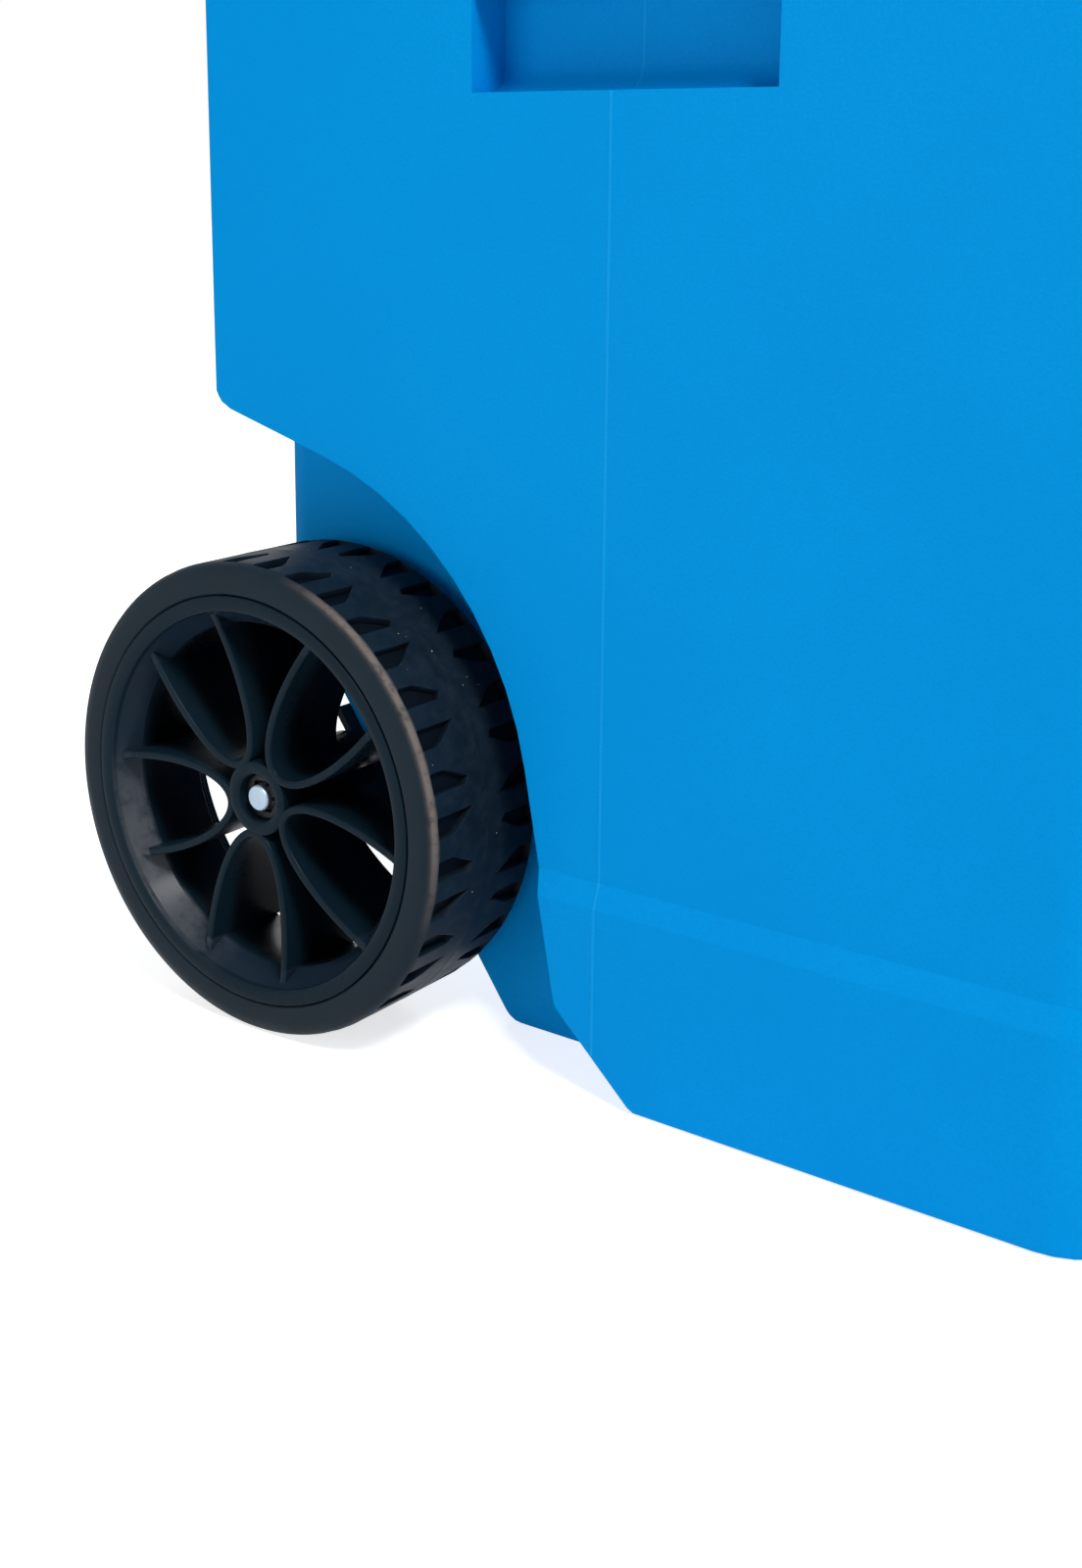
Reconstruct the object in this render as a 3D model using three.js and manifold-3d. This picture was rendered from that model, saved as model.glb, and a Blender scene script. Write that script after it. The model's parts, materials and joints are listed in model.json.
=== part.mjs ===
// Ice chest on two wheels, with a two-stage tow handle, a hinged lid and a drain.
// Millimetres. +X is the front, away from the wheels, +Y is the left side and +Z is up.
// The origin is on the ground, under the middle of the whole object.

import * as THREE from "three";
import { mergeVertices } from "three/addons/utils/BufferGeometryUtils.js";
import Module from "manifold-3d";

const wasm = await Module();
wasm.setup();

// ---------------------------------------------------------------- driving sizes

const GAP = 0.3; // between pieces that touch
const OPEN = 40; // how far a cutter runs out past the surface it opens
const RIGHT = -1;
const LEFT = 1;

// Wheels and axle
const WHEEL_RADIUS = 101.6;
const TYRE_WIDTH = 69.3;
const WHEEL_STANDOUT = 33.8; // wheel face beyond the widest part of the chest
const WELL_SIDE_GAP = 6; // between a tyre and the wall of its wheel well
const AXLE_RADIUS = 5.55;
const AXLE_END_RECESS = 8; // axle end behind the wheel face
const AXLE_CHAMFER = 0.8;
const RUNNING_GAP = 0.3;

// Tyre
const TYRE_THICKNESS = 4.7;
const TYRE_SHOULDER = 4.4;
const TYRE_SIDEWALL = 3.2;
const TYRE_BEAD_RADIUS = 87.9; // inner edge of the sidewall
const TREAD_POCKETS = 36; // in each of the two shoulder rows
const POCKET_DEPTH = 2.8;
const POCKET_START = 4; // from the edge of the tyre
const POCKET_LENGTH = 24;
const POCKET_WIDTH = 8.6;
const POCKET_POINT = 5;

// Wheel centre
const LIP_RADIUS = 80.6; // at the front of the sloping lip
const LIP_DEPTH = 12.5;
const LIP_ROUND = 3;
const BARREL_RADIUS = 74.5; // inside, at the back of the lip
const BARREL_DEPTH = 46;
const DRUM_WALL = 2.4;
const HUB_RADIUS = 16;
const HUB_RECESS = 7.2; // hub face behind the wheel face
const HUB_END_RECESS = 3.3; // hub's inner end short of the tyre's inner edge
const HUB_POCKET_RADIUS = 10.4;
const HUB_POCKET_DEPTH = 5.8;
const RIB_LOOPS = 5;
const RIB_THICKNESS = 3.6;
const RIB_LOOP_HALF_WIDTH = 22.1;
const RIB_PHASE = 48.8; // degrees, of the first loop on the right wheel
const RIB_FRONT_AT_LIP = 4.8;
const RIB_BACK = 48;
const PUSH_NUT_THICKNESS = 1;
const PUSH_NUT_RISE = 0.9;
const WASHER_THICKNESS = 2;
const WASHER_RADIUS = 13;

// Chest
const BODY_HALF_WIDTH = 210;
const BODY_BEHIND_AXLE = 49.2;
const BODY_AHEAD_OF_AXLE = 360.7;
const BODY_TOP = 460;
const BAND_STEP = 3.5; // the lower band stands out by this
const BAND_TOP = 80.6;
const LEDGE_TOP = 90.6;
const FOOT_ROUND = 3;
const FRONT_CORNER = 25;
const REAR_CORNER = 3;
const SHELL_WALL = 3;
const LINER_WALL = 2.5;
const FOAM_THICKNESS = 24.5;
const BASIN_CORNER = 28;
const BASIN_DRAFT = 3;
const BASIN_FLOOR_ROUND = 8;

// Wheel wells, measured from the axle
const WELL_ROOF_SLOPE = 16.2; // degrees down towards the front
const WELL_ROOF_REAR_RISE = WHEEL_RADIUS + 59.3; // roof over the axle, at the rear wall
const WELL_ROOF_RADIUS = WHEEL_RADIUS + 46.4;
const WELL_FRONT_LEAN = 10.7; // degrees from upright
const WELL_FRONT_AT_AXLE = WHEEL_RADIUS + 21.2; // in front of the axle, at its height
const WELL_FLARE_RISE = 36; // height of the flare above the ground
const WELL_FLARE_ANGLE = 43;
const WELL_FLARE_ROUND = 10;
const PANEL_CORNER = 14;
const WELL_INNER_CORNER = 18;
const UNDERSIDE_ANGLE = 54.3; // of the sloping underside between the wheels
const UNDERSIDE_EDGE = 10;

// Side grips, and the pocket that gives a hand room behind the tow handle
const GRIP_LENGTH = 130;
const GRIP_TOP = BODY_TOP - 34;
const GRIP_BOTTOM = GRIP_TOP - 38;
const GRIP_DEPTH = 21;
const GRIP_LIP = 7;
const GRIP_UNDERCUT = 12;
const GRIP_ROUND = 10;
const HAND_POCKET_DEPTH = 14;
const HAND_POCKET_HALF_WIDTH = 60;
const HAND_POCKET_TOP = BODY_TOP - 12;
const HAND_POCKET_CORNER = 12;

// Lid
const LID_HEIGHT = 47.7;
const LID_OVERHANG = 2;
const LID_WALL = 3;
const LID_EDGE = 12;
const PAN_DEPTH = 8;
const PAN_CLEARANCE = 3;
const CUP_RADIUS = 38;
const CUP_DEPTH = 16;
const CUP_SPACING_X = 230;
const CUP_SPACING_Y = 236;
const NOTCH_HALF_WIDTH = 45;
const NOTCH_HEIGHT = 18;
const NOTCH_DEPTH = 16;
const NOTCH_CORNER = 8;

// Hinges
const HINGE_SPREAD = 140; // each side of the middle
const HINGE_LENGTH = 44;
const HINGE_MIDDLE = 15.4; // length of the knuckle on the lid
const HINGE_PLATE = 2.5;
const HINGE_REACH = 26;
const KNUCKLE_RADIUS = 4;
const PIN_RADIUS = 2;
const HINGE_SCREW_SPREAD = 14;
const HINGE_SCREW_REACH = 16; // up or down from the pin

// Tow handle
const HANDLE_SPREAD = 80; // each tube from the middle
const OUTER_TUBE_RADIUS = 9.5;
const MID_TUBE_RADIUS = 7.9;
const INNER_TUBE_RADIUS = 6.3;
const TUBE_WALL = 1.3;
const SLEEVE_WALL = 3.5;
const BRACKET_PLATE = 5;
const FOOT_BRACKET_RISE = 9; // above the top of the sloping underside
const FOOT_BRACKET_HEIGHT = 22;
const SOCKET_FLOOR = 3;
const OUTER_TUBE_TOP = BODY_TOP - 70;
const TOP_BRACKET_HEIGHT = 32;
const BRIDGE_HEIGHT = 10;
const BRIDGE_LIP = 2;
const BRIDGE_EDGE = 2;
const FINGER_GAP = 26;
const HANDLE_BAR_HEIGHT = 20;
const HANDLE_BAR_HALF_DEPTH = 11;
const HANDLE_BAR_EDGE = 6;
const HANDLE_LID_CLEARANCE = 1.5;
const BAR_SOCKET_DEPTH = 13;
const BUTTON_LENGTH = 43;
const BUTTON_WIDTH = 11;
const BUTTON_STANDOUT = 2.5;
const BUTTON_TRAVEL = 2.4;
const BUTTON_POCKET_DEPTH = 8.5;
const BUTTON_EDGE = 1.3;

// Drain
const DRAIN_HEIGHT = 56;
const DRAIN_POCKET_RADIUS = 23;
const DRAIN_POCKET_DEPTH = 13;
const DRAIN_FLANGE_RADIUS = 18;
const DRAIN_FLANGE = 3;
const DRAIN_TUBE_RADIUS = 11;
const DRAIN_BORE = 7.5;
const DRAIN_NUT_RADIUS = 16;
const DRAIN_NUT = 6;
const GASKET = 1.6;
const PLUG_CHAMFER = 1.5;
const PLUG_CAP = 2;
const PLUG_TAB = 6;
const PLUG_TAB_THICKNESS = 4;

// Axle straps and screws
const STRAP_WALL = 3.2;
const STRAP_HALF_LENGTH = 25;
const STRAP_WIDTH = 38;
const STRAP_SCREW_OFFSET = 17.5;
const STRAP_INNER_GAP = 2.9; // from the axle to the sloping underside
const SCREW_SHANK = 1.9;
const SCREW_HEAD = 3.6;
const SCREW_HEAD_HEIGHT = 2.2;
const SCREW_LENGTH = 12;

// Facets
const CORNER_STEPS = 3;
const BIG_CORNER_STEPS = 6;
const ARCH_STEPS = 10;
const LINER_ARCH_STEPS = 3;
const WHEEL_STEPS = TREAD_POCKETS; // a tyre and its wheel share the same facets
const ROUND_STEPS = 16;
const CUP_STEPS = 24;
const SMALL_STEPS = 8;
const MIN_RADIUS = 0.5;

// ---------------------------------------------------------------- derived places

const radians = THREE.MathUtils.degToRad;
const BAND_HALF_WIDTH = BODY_HALF_WIDTH + BAND_STEP;
const WHEEL_FACE_Y = BAND_HALF_WIDTH + WHEEL_STANDOUT;
const WELL_WALL_Y = WHEEL_FACE_Y - TYRE_WIDTH - WELL_SIDE_GAP;
const AXLE_X = (WHEEL_RADIUS - BODY_AHEAD_OF_AXLE - BAND_STEP) / 2;
const AXLE_Z = WHEEL_RADIUS;
const HUB_INNER_END = TYRE_WIDTH - HUB_END_RECESS;
const REAR_X = AXLE_X - BODY_BEHIND_AXLE;
const FRONT_X = AXLE_X + BODY_AHEAD_OF_AXLE;
const MIDDLE_X = (REAR_X + FRONT_X) / 2;
const WALL_TOTAL = SHELL_WALL + FOAM_THICKNESS + LINER_WALL;
const LID_BOTTOM = BODY_TOP + GAP;
const LID_TOP = LID_BOTTOM + LID_HEIGHT;
const HINGE_Y = BODY_HALF_WIDTH + GAP + KNUCKLE_RADIUS;
const HINGE_Z = BODY_TOP + GAP / 2;
const SLEEVE_RADIUS = OUTER_TUBE_RADIUS + GAP + SLEEVE_WALL;
const HANDLE_X = REAR_X - LID_OVERHANG - HANDLE_LID_CLEARANCE - HANDLE_BAR_HALF_DEPTH;
const BRACKET_HALF_WIDTH = HANDLE_SPREAD + SLEEVE_RADIUS;
const BRIDGE_BOTTOM = OUTER_TUBE_TOP + GAP;
const BRIDGE_TOP = BRIDGE_BOTTOM + BRIDGE_HEIGHT;
const BAR_BOTTOM = BRIDGE_TOP + FINGER_GAP;
const BAR_TOP = BAR_BOTTOM + HANDLE_BAR_HEIGHT;
const AXLE_STANDOFF = AXLE_RADIUS + STRAP_INNER_GAP;
const HANDLE_FOOT = undersideTop() + FOOT_BRACKET_RISE;
const TUBE_FOOT = HANDLE_FOOT + SOCKET_FLOOR + GAP;
const BAND_FRONT_X = FRONT_X + BAND_STEP;
const DRAIN_SEAT_X = BAND_FRONT_X - DRAIN_POCKET_DEPTH;
const BASIN_FRONT_X = FRONT_X - WALL_TOTAL;
const RIB_LOOP_CENTRE = Math.sqrt(LIP_RADIUS ** 2 - RIB_LOOP_HALF_WIDTH ** 2);

// ---------------------------------------------------------------- outlines

// A corner is [x, y], [x, y, radius] or [x, y, radius, steps], and an outline's corners run
// counter-clockwise.
function edgeDirections(corners, i) {
  const [x, y] = corners[i];
  const previous = corners.at(i - 1);
  const next = corners[(i + 1) % corners.length];
  const arriving = new THREE.Vector2(x - previous[0], y - previous[1]).normalize();
  const leaving = new THREE.Vector2(next[0] - x, next[1] - y).normalize();
  return { arriving, leaving };
}

function cornerPoints(corners, i) {
  const [x, y, radius = 0, steps = CORNER_STEPS] = corners[i];
  const corner = new THREE.Vector2(x, y);
  if (radius === 0) {
    return [corner];
  }
  const { arriving, leaving } = edgeDirections(corners, i);
  const turn = Math.atan2(arriving.cross(leaving), arriving.dot(leaving));
  const reach = radius * Math.tan(Math.abs(turn) / 2);
  const start = corner.clone().addScaledVector(arriving, -reach);
  const inward = new THREE.Vector2(-arriving.y, arriving.x).multiplyScalar(Math.sign(turn));
  const centre = start.clone().addScaledVector(inward, radius);
  return Array.from({ length: steps + 1 }, (_, k) => {
    return start.clone().rotateAround(centre, (turn * k) / steps);
  });
}

function outline(corners) {
  return corners.flatMap((_, i) => cornerPoints(corners, i));
}

// Moves every edge outwards by a distance, or inwards by a negative one.
function grow(corners, by) {
  return corners.map((corner, i) => {
    const { arriving, leaving } = edgeDirections(corners, i);
    const first = new THREE.Vector2(arriving.y, -arriving.x);
    const second = new THREE.Vector2(leaving.y, -leaving.x);
    const shift = first.clone().add(second).multiplyScalar(by / (1 + first.dot(second)));
    const convex = arriving.cross(leaving) > 0;
    const radius = corner[2] ? Math.max(corner[2] + (convex ? by : -by), MIN_RADIUS) : 0;
    return [corner[0] + shift.x, corner[1] + shift.y, radius, corner[3]];
  });
}

function rectangle(xMin, xMax, yMin, yMax, radius = 0) {
  return [
    [xMin, yMin, radius],
    [xMax, yMin, radius],
    [xMax, yMax, radius],
    [xMin, yMax, radius],
  ];
}

function circle(x, y, radius, steps = ROUND_STEPS) {
  return Array.from({ length: steps }, (_, i) => {
    const angle = (2 * Math.PI * i) / steps;
    return new THREE.Vector2(x + radius * Math.cos(angle), y + radius * Math.sin(angle));
  });
}

// ---------------------------------------------------------------- solids

function signedVolume(positions, index) {
  const corner = (i) => new THREE.Vector3().fromArray(positions, 3 * index[i]);
  let volume = 0;
  for (let i = 0; i < index.length; i += 3) {
    volume += corner(i).dot(corner(i + 1).cross(corner(i + 2))) / 6;
  }
  return volume;
}

// A closed geometry as a solid that can be cut and joined.
function solid(geometry) {
  const bare = geometry.clone();
  bare.deleteAttribute("normal");
  bare.deleteAttribute("uv");
  const merged = mergeVertices(bare);
  const positions = merged.attributes.position.array;
  const index = [];
  for (let i = 0; i < merged.index.count; i += 3) {
    const [a, b, c] = merged.index.array.slice(i, i + 3);
    if (a !== b && b !== c && c !== a) {
      index.push(a, b, c);
    }
  }
  if (signedVolume(positions, index) < 0) {
    index.reverse();
  }
  const mesh = new wasm.Mesh({
    numProp: 3,
    vertProperties: Float32Array.from(positions),
    triVerts: Uint32Array.from(index),
  });
  return new wasm.Manifold(mesh);
}

function geometryOf(shape) {
  const mesh = shape.getMesh();
  const geometry = new THREE.BufferGeometry();
  geometry.setAttribute("position", new THREE.BufferAttribute(mesh.vertProperties.slice(), 3));
  geometry.setIndex(new THREE.BufferAttribute(mesh.triVerts.slice(), 1));
  geometry.computeVertexNormals();
  return geometry;
}

const join = (...shapes) => shapes.reduce((whole, next) => whole.add(next));
const cut = (shape, ...cutters) => cutters.reduce((whole, next) => whole.subtract(next), shape);

function extruded(points, depth, axes, origin) {
  const shape = new THREE.Shape(points);
  const geometry = new THREE.ExtrudeGeometry(shape, { depth, bevelEnabled: false });
  geometry.applyMatrix4(new THREE.Matrix4().makeBasis(...axes));
  geometry.translate(...origin);
  return solid(geometry);
}

const X = new THREE.Vector3(1, 0, 0);
const Y = new THREE.Vector3(0, 1, 0);
const Z = new THREE.Vector3(0, 0, 1);

// The points are (y, z), (x, z) and (x, y) for a prism along X, Y and Z.
const alongX = (points, from, to) => extruded(points, to - from, [Y, Z, X], [from, 0, 0]);
const alongY = (points, from, to) => {
  return extruded(points, to - from, [X, Z, Y.clone().negate()], [0, to, 0]);
};
const alongZ = (points, from, to) => extruded(points, to - from, [X, Y, Z], [0, 0, from]);

// Rings of equal count, bottom to top, joined into one closed skin.
function loft(rings) {
  const count = rings[0].length;
  const index = [];
  for (let level = 0; level < rings.length - 1; level += 1) {
    for (let i = 0; i < count; i += 1) {
      const a = level * count + i;
      const b = level * count + ((i + 1) % count);
      index.push(a, b, b + count, a, b + count, a + count);
    }
  }
  const top = (rings.length - 1) * count;
  for (let i = 1; i < count - 1; i += 1) {
    index.push(0, i + 1, i, top, top + i, top + i + 1);
  }
  const geometry = new THREE.BufferGeometry();
  const positions = rings.flat().flatMap((point) => point.toArray());
  geometry.setAttribute("position", new THREE.Float32BufferAttribute(positions, 3));
  geometry.setIndex(index);
  return solid(geometry);
}

// A plan outline stacked at levels of [height, inset].
function stack(plan, levels) {
  const rings = levels.map(([height, inset]) => {
    return outline(grow(plan, -inset)).map((point) => new THREE.Vector3(point.x, point.y, height));
  });
  return loft(rings);
}

// A profile of [radius, distance along the axis] turned about the local Y axis.
function turned(profile, steps = ROUND_STEPS) {
  const points = profile.map(([radius, along]) => new THREE.Vector2(radius, along));
  return new THREE.LatheGeometry(points, steps);
}

function ring(inner, outer, from, to, steps = ROUND_STEPS) {
  return turned([[inner, from], [outer, from], [outer, to], [inner, to], [inner, from]], steps);
}

function rod(radius, from, to, steps = ROUND_STEPS) {
  return turned([[0, from], [radius, from], [radius, to], [0, to]], steps);
}

const standing = (geometry, x, y, z) => geometry.rotateX(Math.PI / 2).translate(x, y, z);
const facingFront = (geometry, x, y, z) => geometry.rotateZ(-Math.PI / 2).translate(x, y, z);

// ---------------------------------------------------------------- materials

function plastic(color, roughness) {
  return new THREE.MeshStandardMaterial({ color, roughness, metalness: 0 });
}

function metal(color, roughness) {
  return new THREE.MeshStandardMaterial({ color, roughness, metalness: 1 });
}

const BLUE = () => plastic(0x0094d6, 0.5);
const WHITE = () => plastic(0xf1f2f0, 0.45);
const BLACK = () => plastic(0x23272b, 0.45);
const RUBBER = () => plastic(0x1a1e22, 0.8);
const FOAM = () => plastic(0xe8dfb8, 0.9);
const STEEL = () => metal(0xb9bfc4, 0.3);
const ALUMINIUM = () => metal(0xc4c8cb, 0.35);

function part(name, shape, material) {
  const geometry = shape instanceof THREE.BufferGeometry ? shape : geometryOf(shape);
  const mesh = new THREE.Mesh(geometry, material);
  mesh.name = name;
  return mesh;
}

const cooler = new THREE.Group();

// ---------------------------------------------------------------- screws

const screws = [];

// A screw's seat is the point under its head, and out is the way its head faces.
function addScrew(name, seat, out) {
  screws.push({ name, seat: new THREE.Vector3(...seat), out: out.clone().normalize() });
}

function turnTo(geometry, { seat, out }) {
  const turn = new THREE.Quaternion().setFromUnitVectors(Y, out);
  return geometry.applyQuaternion(turn).translate(...seat.toArray());
}

function pilotHole(screw) {
  return solid(turnTo(rod(SCREW_SHANK + GAP, -SCREW_LENGTH - GAP, OPEN / 4, SMALL_STEPS), screw));
}

function drilled(shape, prefix) {
  const holes = screws.filter((screw) => screw.name.startsWith(prefix)).map(pilotHole);
  return cut(shape, ...holes);
}

function makeScrew(screw) {
  const profile = [
    [0, -SCREW_LENGTH],
    [SCREW_SHANK, -SCREW_LENGTH],
    [SCREW_SHANK, GAP],
    [SCREW_HEAD, GAP],
    [SCREW_HEAD, SCREW_HEAD_HEIGHT / 2],
    [SCREW_HEAD * 0.7, SCREW_HEAD_HEIGHT],
    [0, SCREW_HEAD_HEIGHT],
  ];
  const mesh = part(screw.name, solid(turned(profile, SMALL_STEPS)), STEEL());
  mesh.position.copy(screw.seat);
  mesh.quaternion.setFromUnitVectors(Y, screw.out);
  return mesh;
}

// ---------------------------------------------------------------- wheels

// Distances along a wheel's axis run inboard from its outer face.
function tyreProfile() {
  const inner = WHEEL_RADIUS - TYRE_THICKNESS;
  const shoulder = (from, sign) => [
    [WHEEL_RADIUS - TYRE_SHOULDER, from],
    [WHEEL_RADIUS - TYRE_SHOULDER * 0.3, from + sign * TYRE_SHOULDER * 0.3],
    [WHEEL_RADIUS, from + sign * TYRE_SHOULDER],
  ];
  return [
    [TYRE_BEAD_RADIUS, TYRE_SIDEWALL],
    [TYRE_BEAD_RADIUS, GAP],
    ...shoulder(0, 1),
    ...shoulder(TYRE_WIDTH, -1).reverse(),
    [inner, TYRE_WIDTH],
    [inner, TYRE_SIDEWALL],
    [TYRE_BEAD_RADIUS, TYRE_SIDEWALL],
  ];
}

// Every second pocket ends in a point, and the ones between end in a slant.
function pocketPoints(slanted) {
  const half = POCKET_WIDTH / 2;
  const shoulder = POCKET_LENGTH - POCKET_POINT;
  const tip = slanted ? half : 0;
  const corners = [[POCKET_START, -half], [shoulder, -half], [POCKET_LENGTH, tip]];
  if (!slanted) {
    corners.push([shoulder, half]);
  }
  corners.push([POCKET_START, half]);
  return corners.map(([along, across]) => new THREE.Vector2(along, across));
}

// The pocket's length lies along the axis and its width round the tread.
function treadPocket(i, innerRow) {
  const shape = new THREE.Shape(pocketPoints(i % 2 === 1));
  const geometry = new THREE.ExtrudeGeometry(shape, { depth: OPEN, bevelEnabled: false });
  geometry.rotateZ(innerRow ? Math.PI : 0);
  geometry.translate(innerRow ? TYRE_WIDTH : 0, 0, WHEEL_RADIUS - POCKET_DEPTH);
  const angle = (2 * Math.PI * (i + (innerRow ? 1 : 0.5))) / TREAD_POCKETS;
  const radial = new THREE.Vector3(Math.cos(angle), 0, Math.sin(angle));
  const round = new THREE.Vector3(-Math.sin(angle), 0, Math.cos(angle));
  return solid(geometry.applyMatrix4(new THREE.Matrix4().makeBasis(Y, round, radial)));
}

function makeTyre() {
  const blank = solid(turned(tyreProfile(), WHEEL_STEPS));
  const pockets = Array.from({ length: 2 * TREAD_POCKETS }, (_, i) => {
    return treadPocket(i % TREAD_POCKETS, i >= TREAD_POCKETS);
  });
  return cut(blank, ...pockets);
}

// The lip that shows inside the tyre, the barrel round the ribs and the drum under the tread.
function makeRim() {
  const drum = WHEEL_RADIUS - TYRE_THICKNESS - GAP;
  const flange = TYRE_BEAD_RADIUS - GAP;
  const webFront = TYRE_SIDEWALL + GAP;
  const webBack = webFront + DRUM_WALL;
  return solid(turned([
    [flange, webFront],
    [flange, GAP],
    [flange - LIP_ROUND, 0],
    [LIP_RADIUS + LIP_ROUND / 4, LIP_ROUND / 4],
    [LIP_RADIUS, LIP_ROUND],
    [BARREL_RADIUS, LIP_DEPTH],
    [BARREL_RADIUS, BARREL_DEPTH],
    [BARREL_RADIUS + DRUM_WALL, BARREL_DEPTH],
    [BARREL_RADIUS + DRUM_WALL, LIP_DEPTH],
    [LIP_RADIUS + DRUM_WALL, webBack],
    [drum - DRUM_WALL, webBack],
    [drum - DRUM_WALL, TYRE_WIDTH - TYRE_SHOULDER],
    [drum, TYRE_WIDTH - TYRE_SHOULDER],
    [drum, webFront],
    [flange, webFront],
  ], WHEEL_STEPS));
}

function hub() {
  return solid(ring(0, HUB_RADIUS, HUB_RECESS, HUB_INNER_END, ROUND_STEPS));
}

function hubBore() {
  const pocketFloor = HUB_RECESS + HUB_POCKET_DEPTH;
  return solid(turned([
    [0, -OPEN],
    [HUB_POCKET_RADIUS, -OPEN],
    [HUB_POCKET_RADIUS, pocketFloor],
    [AXLE_RADIUS + RUNNING_GAP, pocketFloor],
    [AXLE_RADIUS + RUNNING_GAP, TYRE_WIDTH + OPEN],
    [0, TYRE_WIDTH + OPEN],
  ], ROUND_STEPS));
}

// One edge of a rib loop: a half-ellipse round the hub side, with straight ends into the lip.
function ribEdge(offset) {
  const reach = RIB_LOOP_CENTRE - HUB_RADIUS + offset;
  const width = RIB_LOOP_HALF_WIDTH + offset;
  const [from, to] = [Math.PI / 2, (3 * Math.PI) / 2];
  const curve = new THREE.EllipseCurve(RIB_LOOP_CENTRE, 0, reach, width, from, to, false);
  const end = RIB_LOOP_CENTRE + OPEN;
  return [new THREE.Vector2(end, width), ...curve.getPoints(12), new THREE.Vector2(end, -width)];
}

// The bottom of each loop is sunk into the hub by half its thickness.
function ribLoop(i) {
  const angle = radians(RIB_PHASE) + (2 * Math.PI * i) / RIB_LOOPS;
  const half = RIB_THICKNESS / 2;
  const points = [...ribEdge(half), ...ribEdge(-half).reverse()];
  const origin = new THREE.Vector2();
  return alongY(points.map((point) => point.rotateAround(origin, angle)), 0, TYRE_WIDTH);
}

// How far the sloping lip has come in at a depth behind the wheel face.
function lipRadiusAt(depth) {
  const share = (depth - LIP_ROUND) / (LIP_DEPTH - LIP_ROUND);
  return LIP_RADIUS + (BARREL_RADIUS - LIP_RADIUS) * share;
}

// The ribs end on the lip and the barrel.
function ribEnvelope() {
  return solid(turned([
    [0, HUB_RECESS],
    [HUB_RADIUS, HUB_RECESS],
    [lipRadiusAt(RIB_FRONT_AT_LIP) - GAP, RIB_FRONT_AT_LIP],
    [BARREL_RADIUS - GAP, LIP_DEPTH],
    [BARREL_RADIUS - GAP, RIB_BACK],
    [0, RIB_BACK],
  ], WHEEL_STEPS));
}

// The hub and its ribs, which stand inside the rim's lip and barrel.
function makeSpokes() {
  const loops = join(...Array.from({ length: RIB_LOOPS }, (_, i) => ribLoop(i)));
  return cut(join(loops.intersect(ribEnvelope()), hub()), hubBore());
}

// A spring washer whose raised inner edge bites on the axle.
function makePushNut() {
  const inner = AXLE_RADIUS + GAP;
  const outer = HUB_POCKET_RADIUS - 2 * GAP;
  const seat = HUB_RECESS + HUB_POCKET_DEPTH - GAP;
  const face = seat - PUSH_NUT_THICKNESS;
  const raised = face - PUSH_NUT_RISE;
  return solid(turned([
    [inner, raised],
    [inner + PUSH_NUT_RISE, face],
    [outer, face],
    [outer, seat],
    [inner + PUSH_NUT_RISE, seat],
    [inner, seat - PUSH_NUT_RISE],
    [inner, raised],
  ]));
}

const tyreShape = makeTyre();
const rimShape = makeRim();
const spokesShape = makeSpokes();

function makeWheel(side, word) {
  const wheel = new THREE.Group();
  wheel.position.set(AXLE_X, side * WHEEL_FACE_Y, AXLE_Z);
  wheel.rotation.z = side === RIGHT ? 0 : Math.PI;
  const washerFrom = HUB_INNER_END + GAP;
  const washer = ring(AXLE_RADIUS + GAP, WASHER_RADIUS, washerFrom, washerFrom + WASHER_THICKNESS);
  wheel.add(part(`tyre_${word}`, tyreShape, RUBBER()));
  wheel.add(part(`rim_${word}`, rimShape, BLACK()));
  wheel.add(part(`spokes_${word}`, spokesShape, BLACK()));
  wheel.add(part(`push_nut_${word}`, makePushNut(), STEEL()));
  wheel.add(part(`washer_${word}`, solid(washer), STEEL()));
  return wheel;
}

function makeAxle() {
  const end = WHEEL_FACE_Y - AXLE_END_RECESS;
  const shaft = turned([
    [0, -end],
    [AXLE_RADIUS - AXLE_CHAMFER, -end],
    [AXLE_RADIUS, -end + AXLE_CHAMFER],
    [AXLE_RADIUS, end - AXLE_CHAMFER],
    [AXLE_RADIUS - AXLE_CHAMFER, end],
    [0, end],
  ], ROUND_STEPS);
  return solid(shaft.translate(AXLE_X, 0, AXLE_Z));
}

// ---------------------------------------------------------------- chest cutters

// Each cutter takes an offset, so the shell's inside follows its outside at a wall's distance.

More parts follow.
